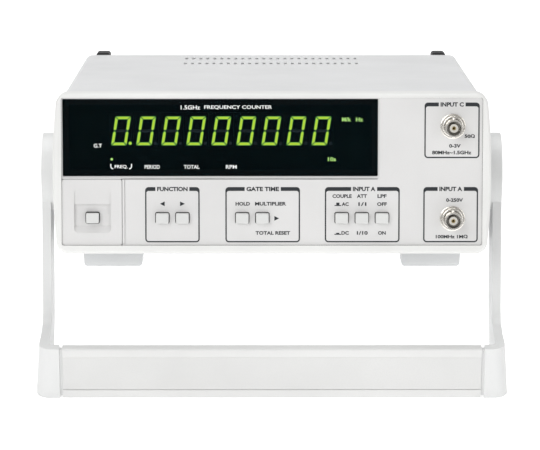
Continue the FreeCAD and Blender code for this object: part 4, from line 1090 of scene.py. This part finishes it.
@dataclass
class PanelPrint:
    """Dark print on the panel: titled boxes, labels, arrows and switch symbols."""

    case: CaseFrame
    palette: Palette
    line: float = 0.75
    bar: float = 2.2
    corner: float = 2.0
    above: float = 17.7
    below: float = 14.1
    upper_above: float = 13.6
    upper_below: float = 18.2
    title_height: float = 2.5
    title_gap: float = 1.0
    title_weight: float = 0.04
    label_height: float = 2.1
    arrow: float = 2.7
    symbol_past: float = 2.2
    symbol_half: float = 1.9
    symbol_key_half: float = 0.9
    symbol_base: float = 0.5
    film: float = 0.03

    KEY_UP, UPPER_UP, TOP_UP, LOWER_UP = 8.1, 7.9, 12.5, -8.7
    ROW_BOXES = (
        TitledBox("FUNCTION", 17.4, "function_left_button", "function_right_button", 9.8, 9.8),
        TitledBox("GATE TIME", 18.6, "gate_hold_button", "gate_multiplier_button", 9.6, 21.5),
        TitledBox("INPUT A", 12.8, "coupling_button", "low_pass_button", 9.6, 10.1, 1.0),
        TitledBox("INPUT A", 13.0, "input_a_nut", "input_a_nut", 16.6, 14.6),
    )
    UPPER_BOX = TitledBox("INPUT C", 13.2, "input_c_nut", "input_c_nut", 16.2, 15.2)
    LABELS = {
        "gate_hold_button": (Label("HOLD", 0.3, KEY_UP, 8.2),),
        "gate_multiplier_button": (Label("MULTIPLIER", -4.2, KEY_UP, 17.8, Anchor.LEFT),
                                   Label("TOTAL RESET", -3.9, LOWER_UP, 19.8, Anchor.LEFT)),
        "coupling_button": (Label("COUPLE", 0.2, TOP_UP, 11.0), Label("AC", 2.0, UPPER_UP, 4.0),
                            Label("DC", 2.0, LOWER_UP, 4.2)),
        "attenuator_button": (Label("ATT", 0.0, TOP_UP, 5.8), Label("1/1", 0.3, UPPER_UP, 4.6),
                              Label("1/10", 0.3, LOWER_UP, 6.2)),
        "low_pass_button": (Label("LPF", 0.0, TOP_UP, 5.2), Label("OFF", 0.0, UPPER_UP, 5.6),
                            Label("ON", 0.0, LOWER_UP, 4.4)),
        "input_a_nut": (Label("0-250V", 1.2, 10.6, 9.6), Label("100MHz 1MΩ", -0.3, -10.4, 18.2)),
        "input_c_nut": (Label("50Ω", 9.6, -5.6, 5.8), Label("0-3V", 1.2, -11.2, 6.6),
                        Label("80MHz~1.5GHz", -0.6, -15.0, 22.4)),
    }
    ARROWS = (("function_left_button", 0.0, KEY_UP, -1), ("function_right_button", 0.0, KEY_UP, 1),
              ("gate_multiplier_button", 8.2, -0.3, 1))
    SYMBOLS = ((UPPER_UP, 1.9), (LOWER_UP, 1.1))

    def _titled_box(self, art: Artwork, box: TitledBox, z0: float, z1: float) -> None:
        """Draws a rounded box with a thick top bar that the title interrupts.

        Args:
            art: The artwork.
            box: The box's title and reach.
            z0: Underside.
            z1: Top.
        """
        x0 = self.case.box(box.first).centre.x - box.left
        x1 = self.case.box(box.last).centre.x + box.right
        middle = (x0 + x1) / 2 + box.title_shift
        left = middle - box.title_width / 2 - self.title_gap
        right = middle + box.title_width / 2 + self.title_gap
        r = self.corner
        inner = r - self.line
        outer = [(left, z1)] + arc(x0 + r, z1 - r, r, 90, 180) + arc(x0 + r, z0 + r, r, 180, 270)
        outer += arc(x1 - r, z0 + r, r, 270, 360) + arc(x1 - r, z1 - r, r, 0, 90) + [(right, z1)]
        low = z1 - self.bar
        a0, a1 = x0 + self.line, x1 - self.line
        inside = [(right, low)] + arc(a1 - inner, low - inner, inner, 90, 0)
        inside += arc(a1 - inner, z0 + r, inner, 0, -90) + arc(a0 + inner, z0 + r, inner, 270, 180)
        inside += arc(a0 + inner, low - inner, inner, 180, 90) + [(left, low)]
        art.outline(outer + inside)
        art.text(box.title, middle, z1 - self.bar / 2, self.title_height, box.title_width,
                 weight=self.title_weight)

    def _symbols(self, art: Artwork) -> None:
        """Draws arrowheads and the latching switch's symbols, with the key out and in."""
        half = self.arrow / 2
        for node, across, up, side in self.ARROWS:
            spot = self.case.box(node).centre
            x, z = spot.x + across, spot.z + up
            art.outline([(x - side * half, z - half), (x + side * half, z),
                         (x - side * half, z + half)])
        spot = self.case.box("coupling_button").centre
        x = spot.x - self.symbol_past
        for up, rise in self.SYMBOLS:
            base = spot.z + up - self.label_height / 2
            top = base + self.symbol_base
            art.bar(x - self.symbol_half, x + self.symbol_half, base, top)
            art.bar(x - self.symbol_key_half, x + self.symbol_key_half, top, base + rise)

    def build(self) -> None:
        """Makes the panel's print."""
        art = Artwork("panel_print", self.case, self.case.box("front_panel").low.y - self.film)
        row = self.case.box("coupling_button").centre.z
        upper = self.case.box("input_c_nut").centre.z
        for box in self.ROW_BOXES:
            self._titled_box(art, box, row - self.below, row + self.above)
        self._titled_box(art, self.UPPER_BOX, upper - self.upper_below, upper + self.upper_above)
        for node, labels in self.LABELS.items():
            spot = self.case.box(node).centre
            for label in labels:
                art.text(label.words, spot.x + label.across, spot.z + label.up,
                         self.label_height, label.width, label.anchor)
        self._symbols(art)
        art.build(self.palette, "panel_ink", "mask_black")


# ------------------------------------------------------------------ key and seam shades (painted shade)
@dataclass
class KeyGapShades:
    """Thin black plates in the gaps round the keys: painted shade standing in for the shadow in the
    gaps.
    """

    case: CaseFrame
    palette: Palette
    gap: float = 0.5
    clearance: float = 0.06
    corner: float = 0.7
    flange: float = 0.9
    sunk: float = 0.25

    def build(self) -> None:
        """Makes one black plate of painted shade for each key in the panel."""
        face = self.case.box("front_panel").low.y + self.sunk
        art = Artwork("key_gap_shades", self.case, face, 0.2)
        for name in KEYS:
            key = self.case.box(name)
            shapes = []
            for reach, corner in ((self.gap - self.clearance, self.corner + self.gap),
                                  (self.clearance, self.corner)):
                x, z = key.centre.x, key.centre.z
                half_x = key.size.x / 2 - self.flange + reach
                half_z = key.size.z / 2 - self.flange + reach
                shapes.append(rounded(x - half_x, x + half_x, z - half_z, z + half_z, corner))
            art.outline(shapes[0], shapes[1][::-1])
        art.build(self.palette, "mask_black", "mask_black")


@dataclass
class PanelSeamShades:
    """Black plates in the joints round the front panel and under the window: painted shade standing
    in for the shadow in the grooves.
    """

    case: CaseFrame
    palette: Palette
    gap: float = 0.15
    line: float = 0.28
    corner: float = 1.2
    sunk: float = 0.3

    def build(self) -> None:
        """Makes the black seam plates, painted shade in the grooves."""
        panel = self.case.box("front_panel")
        power = self.case.box("power_panel")
        window = self.case.box("display_window")
        art = Artwork("panel_seam_shades", self.case, panel.low.y + self.sunk, 0.1)
        low_x, high_x = min(panel.low.x, power.low.x), panel.high.x
        low_z, high_z = min(panel.low.z, power.low.z), panel.high.z
        gap = self.gap
        art.outline(rounded(low_x - gap, high_x + gap, low_z - gap, high_z + gap,
                            self.corner + gap),
                    rounded(low_x, high_x, low_z, high_z, self.corner)[::-1])
        art.bar(power.low.x, window.high.x, power.high.z + self.line / 4,
                power.high.z + self.line * 1.25)
        art.build(self.palette, "mask_black", "mask_black")


# ------------------------------------------------------------------ turned metalwork
@dataclass
class JackNuts:
    """Turned nuts and washers round the input jacks."""

    case: CaseFrame
    palette: Palette
    facets: int = 64
    bore: float = 4.6
    chamfer: float = 0.25
    washer: float = 0.8
    step: float = 1.35
    fillet: float = 0.12

    NUT_ROUND = ((0.45, 0.0), (0.15, 0.1), (0.0, 0.4))
    WASHER_ROUND = ((0.3, 0.0), (0.08, 0.1), (0.0, 0.3))

    def _profile(self, box: Box) -> Loop:
        """Section of the nut over its washer, as radius and depth, round the jack's axis.

        Args:
            box: The nut's box.

        Returns:
            The section's closed loop.
        """
        outer, front, back = box.size.x / 2, box.low.y, box.high.y
        washer, shoulder = back - self.washer, outer - self.step
        profile = [(self.bore, back), (self.bore, front + self.chamfer),
                   (self.bore + self.chamfer, front)]
        profile += [(shoulder - inset, front + drop) for inset, drop in self.NUT_ROUND]
        profile += [(shoulder, washer - self.fillet), (shoulder + self.fillet, washer)]
        profile += [(outer - inset, washer + drop) for inset, drop in self.WASHER_ROUND]
        return profile + [(outer, back)]

    def build(self) -> None:
        """Makes both nuts."""
        for name in ("input_a", "input_c"):
            box = self.case.box(name + "_nut")
            centre = box.centre
            shape = bmesh.new()
            rings = []
            for index in range(self.facets):
                angle = 2 * math.pi * index / self.facets
                rings.append([shape.verts.new((centre.x + r * math.cos(angle), y,
                                               centre.z + r * math.sin(angle)))
                              for r, y in self._profile(box)])
            for ring, after in zip(rings, rings[1:] + rings[:1]):
                for index in range(len(ring)):
                    follow = (index + 1) % len(ring)
                    shape.faces.new((ring[index], ring[follow], after[follow], after[index]))
            piece = finish_mesh(name + "_ring_nut", shape, self.case.matrix)
            piece.data.set_sharp_from_angle(angle=math.radians(40))
            self.palette.dress(piece, "nickel")
            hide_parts(name + "_nut")
            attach(piece, CASE)
            log.info("%s made", piece.name)


# ------------------------------------------------------------------ studio
@dataclass(frozen=True)
class SoftLight:
    """A soft square light: its place and side in metres and its power in watts."""

    name: str
    place: tuple[float, float, float]
    size: float
    power: float


@dataclass
class Studio:
    """Floor, lights, sky and camera."""

    case: CaseFrame
    floor_reach: float = 9.0
    floor_colour: Colour = (0.88, 0.88, 0.88)
    floor_glow: float = 0.5
    sky: float = 0.36
    camera_place: tuple[float, float, float] = (-5.4, -1970.0, 274.7)
    camera_pitch: float = -7.46
    camera_yaw: float = 0.124
    lens: float = 232.0
    aim: tuple[float, float, float] = (0.0, 100.0, 45.0)
    floor_drop: float = 0.0002

    LIGHTS = (SoftLight("key", (-1.7, -3.0, 2.6), 2.4, 66.0),
              SoftLight("fill", (2.4, -2.6, 1.6), 2.0, 20.0),
              SoftLight("top", (0.0, 1.2, 3.4), 2.6, 70.0))

    def _floor(self) -> None:
        """Lays the plain floor."""
        place = Matrix.Translation((0.0, 0.0, cad_box[0].z - self.floor_drop))
        shape = bmesh.new()
        bmesh.ops.create_grid(shape, x_segments=8, y_segments=8, size=self.floor_reach)
        floor = finish_mesh("studio_floor", shape, place)
        material, graph, shader = start_material(
            "floor_paper", Roughness=0.9, Specular_IOR_Level=0.1,
            Emission_Color=(1.0, 1.0, 1.0), Emission_Strength=self.floor_glow)
        slow = effects.place(graph, Effect.TONE, Scale=2.0, Amount=1.0)
        shade = graph.ranged(slow.outputs["Tone"], -0.25, 0.25)
        colour = graph.mix(shade, scaled(self.floor_colour, 0.99), self.floor_colour)
        graph.feed(shader, Base_Color=colour)
        floor.data.materials.append(material)

    def _lights(self) -> None:
        """Hangs the lights, each turned to the same point on the case."""
        aim = self.case.matrix @ Vector(self.aim)
        for light in self.LIGHTS:
            lamp = bpy.data.lights.new(light.name, "AREA")
            lamp.shape = "SQUARE"
            lamp.size = light.size
            lamp.energy = light.power
            holder = bpy.data.objects.new(light.name, lamp)
            holder.location = light.place
            turned = (aim - Vector(light.place)).to_track_quat("-Z", "Y")
            holder.rotation_euler = turned.to_euler()
            bpy.context.scene.collection.objects.link(holder)

    def _sky(self) -> None:
        """Sets an even white surround."""
        world = bpy.data.worlds.new("studio_sky")
        world.use_nodes = True
        sockets = world.node_tree.nodes["Background"].inputs
        sockets["Color"].default_value = (1.0, 1.0, 1.0, 1.0)
        sockets["Strength"].default_value = self.sky
        bpy.context.scene.world = world

    def _camera(self) -> None:
        """Sets the camera in front of the panel and a little above it."""
        lens = bpy.data.cameras.new("front_view")
        lens.lens = self.lens
        lens.clip_end = 100.0
        camera = bpy.data.objects.new("front_view", lens)
        pitch, yaw = math.radians(self.camera_pitch), math.radians(self.camera_yaw)
        ahead = (self.case.right * (math.sin(yaw) * math.cos(pitch))
                 + self.case.inward * (math.cos(yaw) * math.cos(pitch))
                 + self.case.upward * math.sin(pitch))
        side = ahead.cross(self.case.upward).normalized()
        over = side.cross(ahead)
        turn = Matrix((side, over, -ahead)).transposed().to_4x4()
        place = self.case.matrix @ Vector(self.camera_place)
        camera.matrix_world = Matrix.Translation(place) @ turn
        bpy.context.scene.collection.objects.link(camera)
        bpy.context.scene.camera = camera

    def build(self) -> None:
        """Makes the whole studio."""
        self._camera()
        self._floor()
        self._sky()
        self._lights()
        bpy.context.scene.view_settings.view_transform = "Standard"
        log.info("studio set")


def main() -> None:
    """Builds the studio, then dresses and completes the counter."""
    logging.basicConfig(level=logging.INFO, format="%(name)s %(message)s")
    case = CaseFrame.measured()
    palette = Palette()
    Studio(case).build()
    CarriedNodes(palette).build()
    DigitRow(case, palette).build()
    WindowPrint(case, palette).build()
    PanelPrint(case, palette).build()
    KeyGapShades(case, palette).build()
    PanelSeamShades(case, palette).build()
    JackNuts(case, palette).build()


if __name__ == "__main__":
    main()
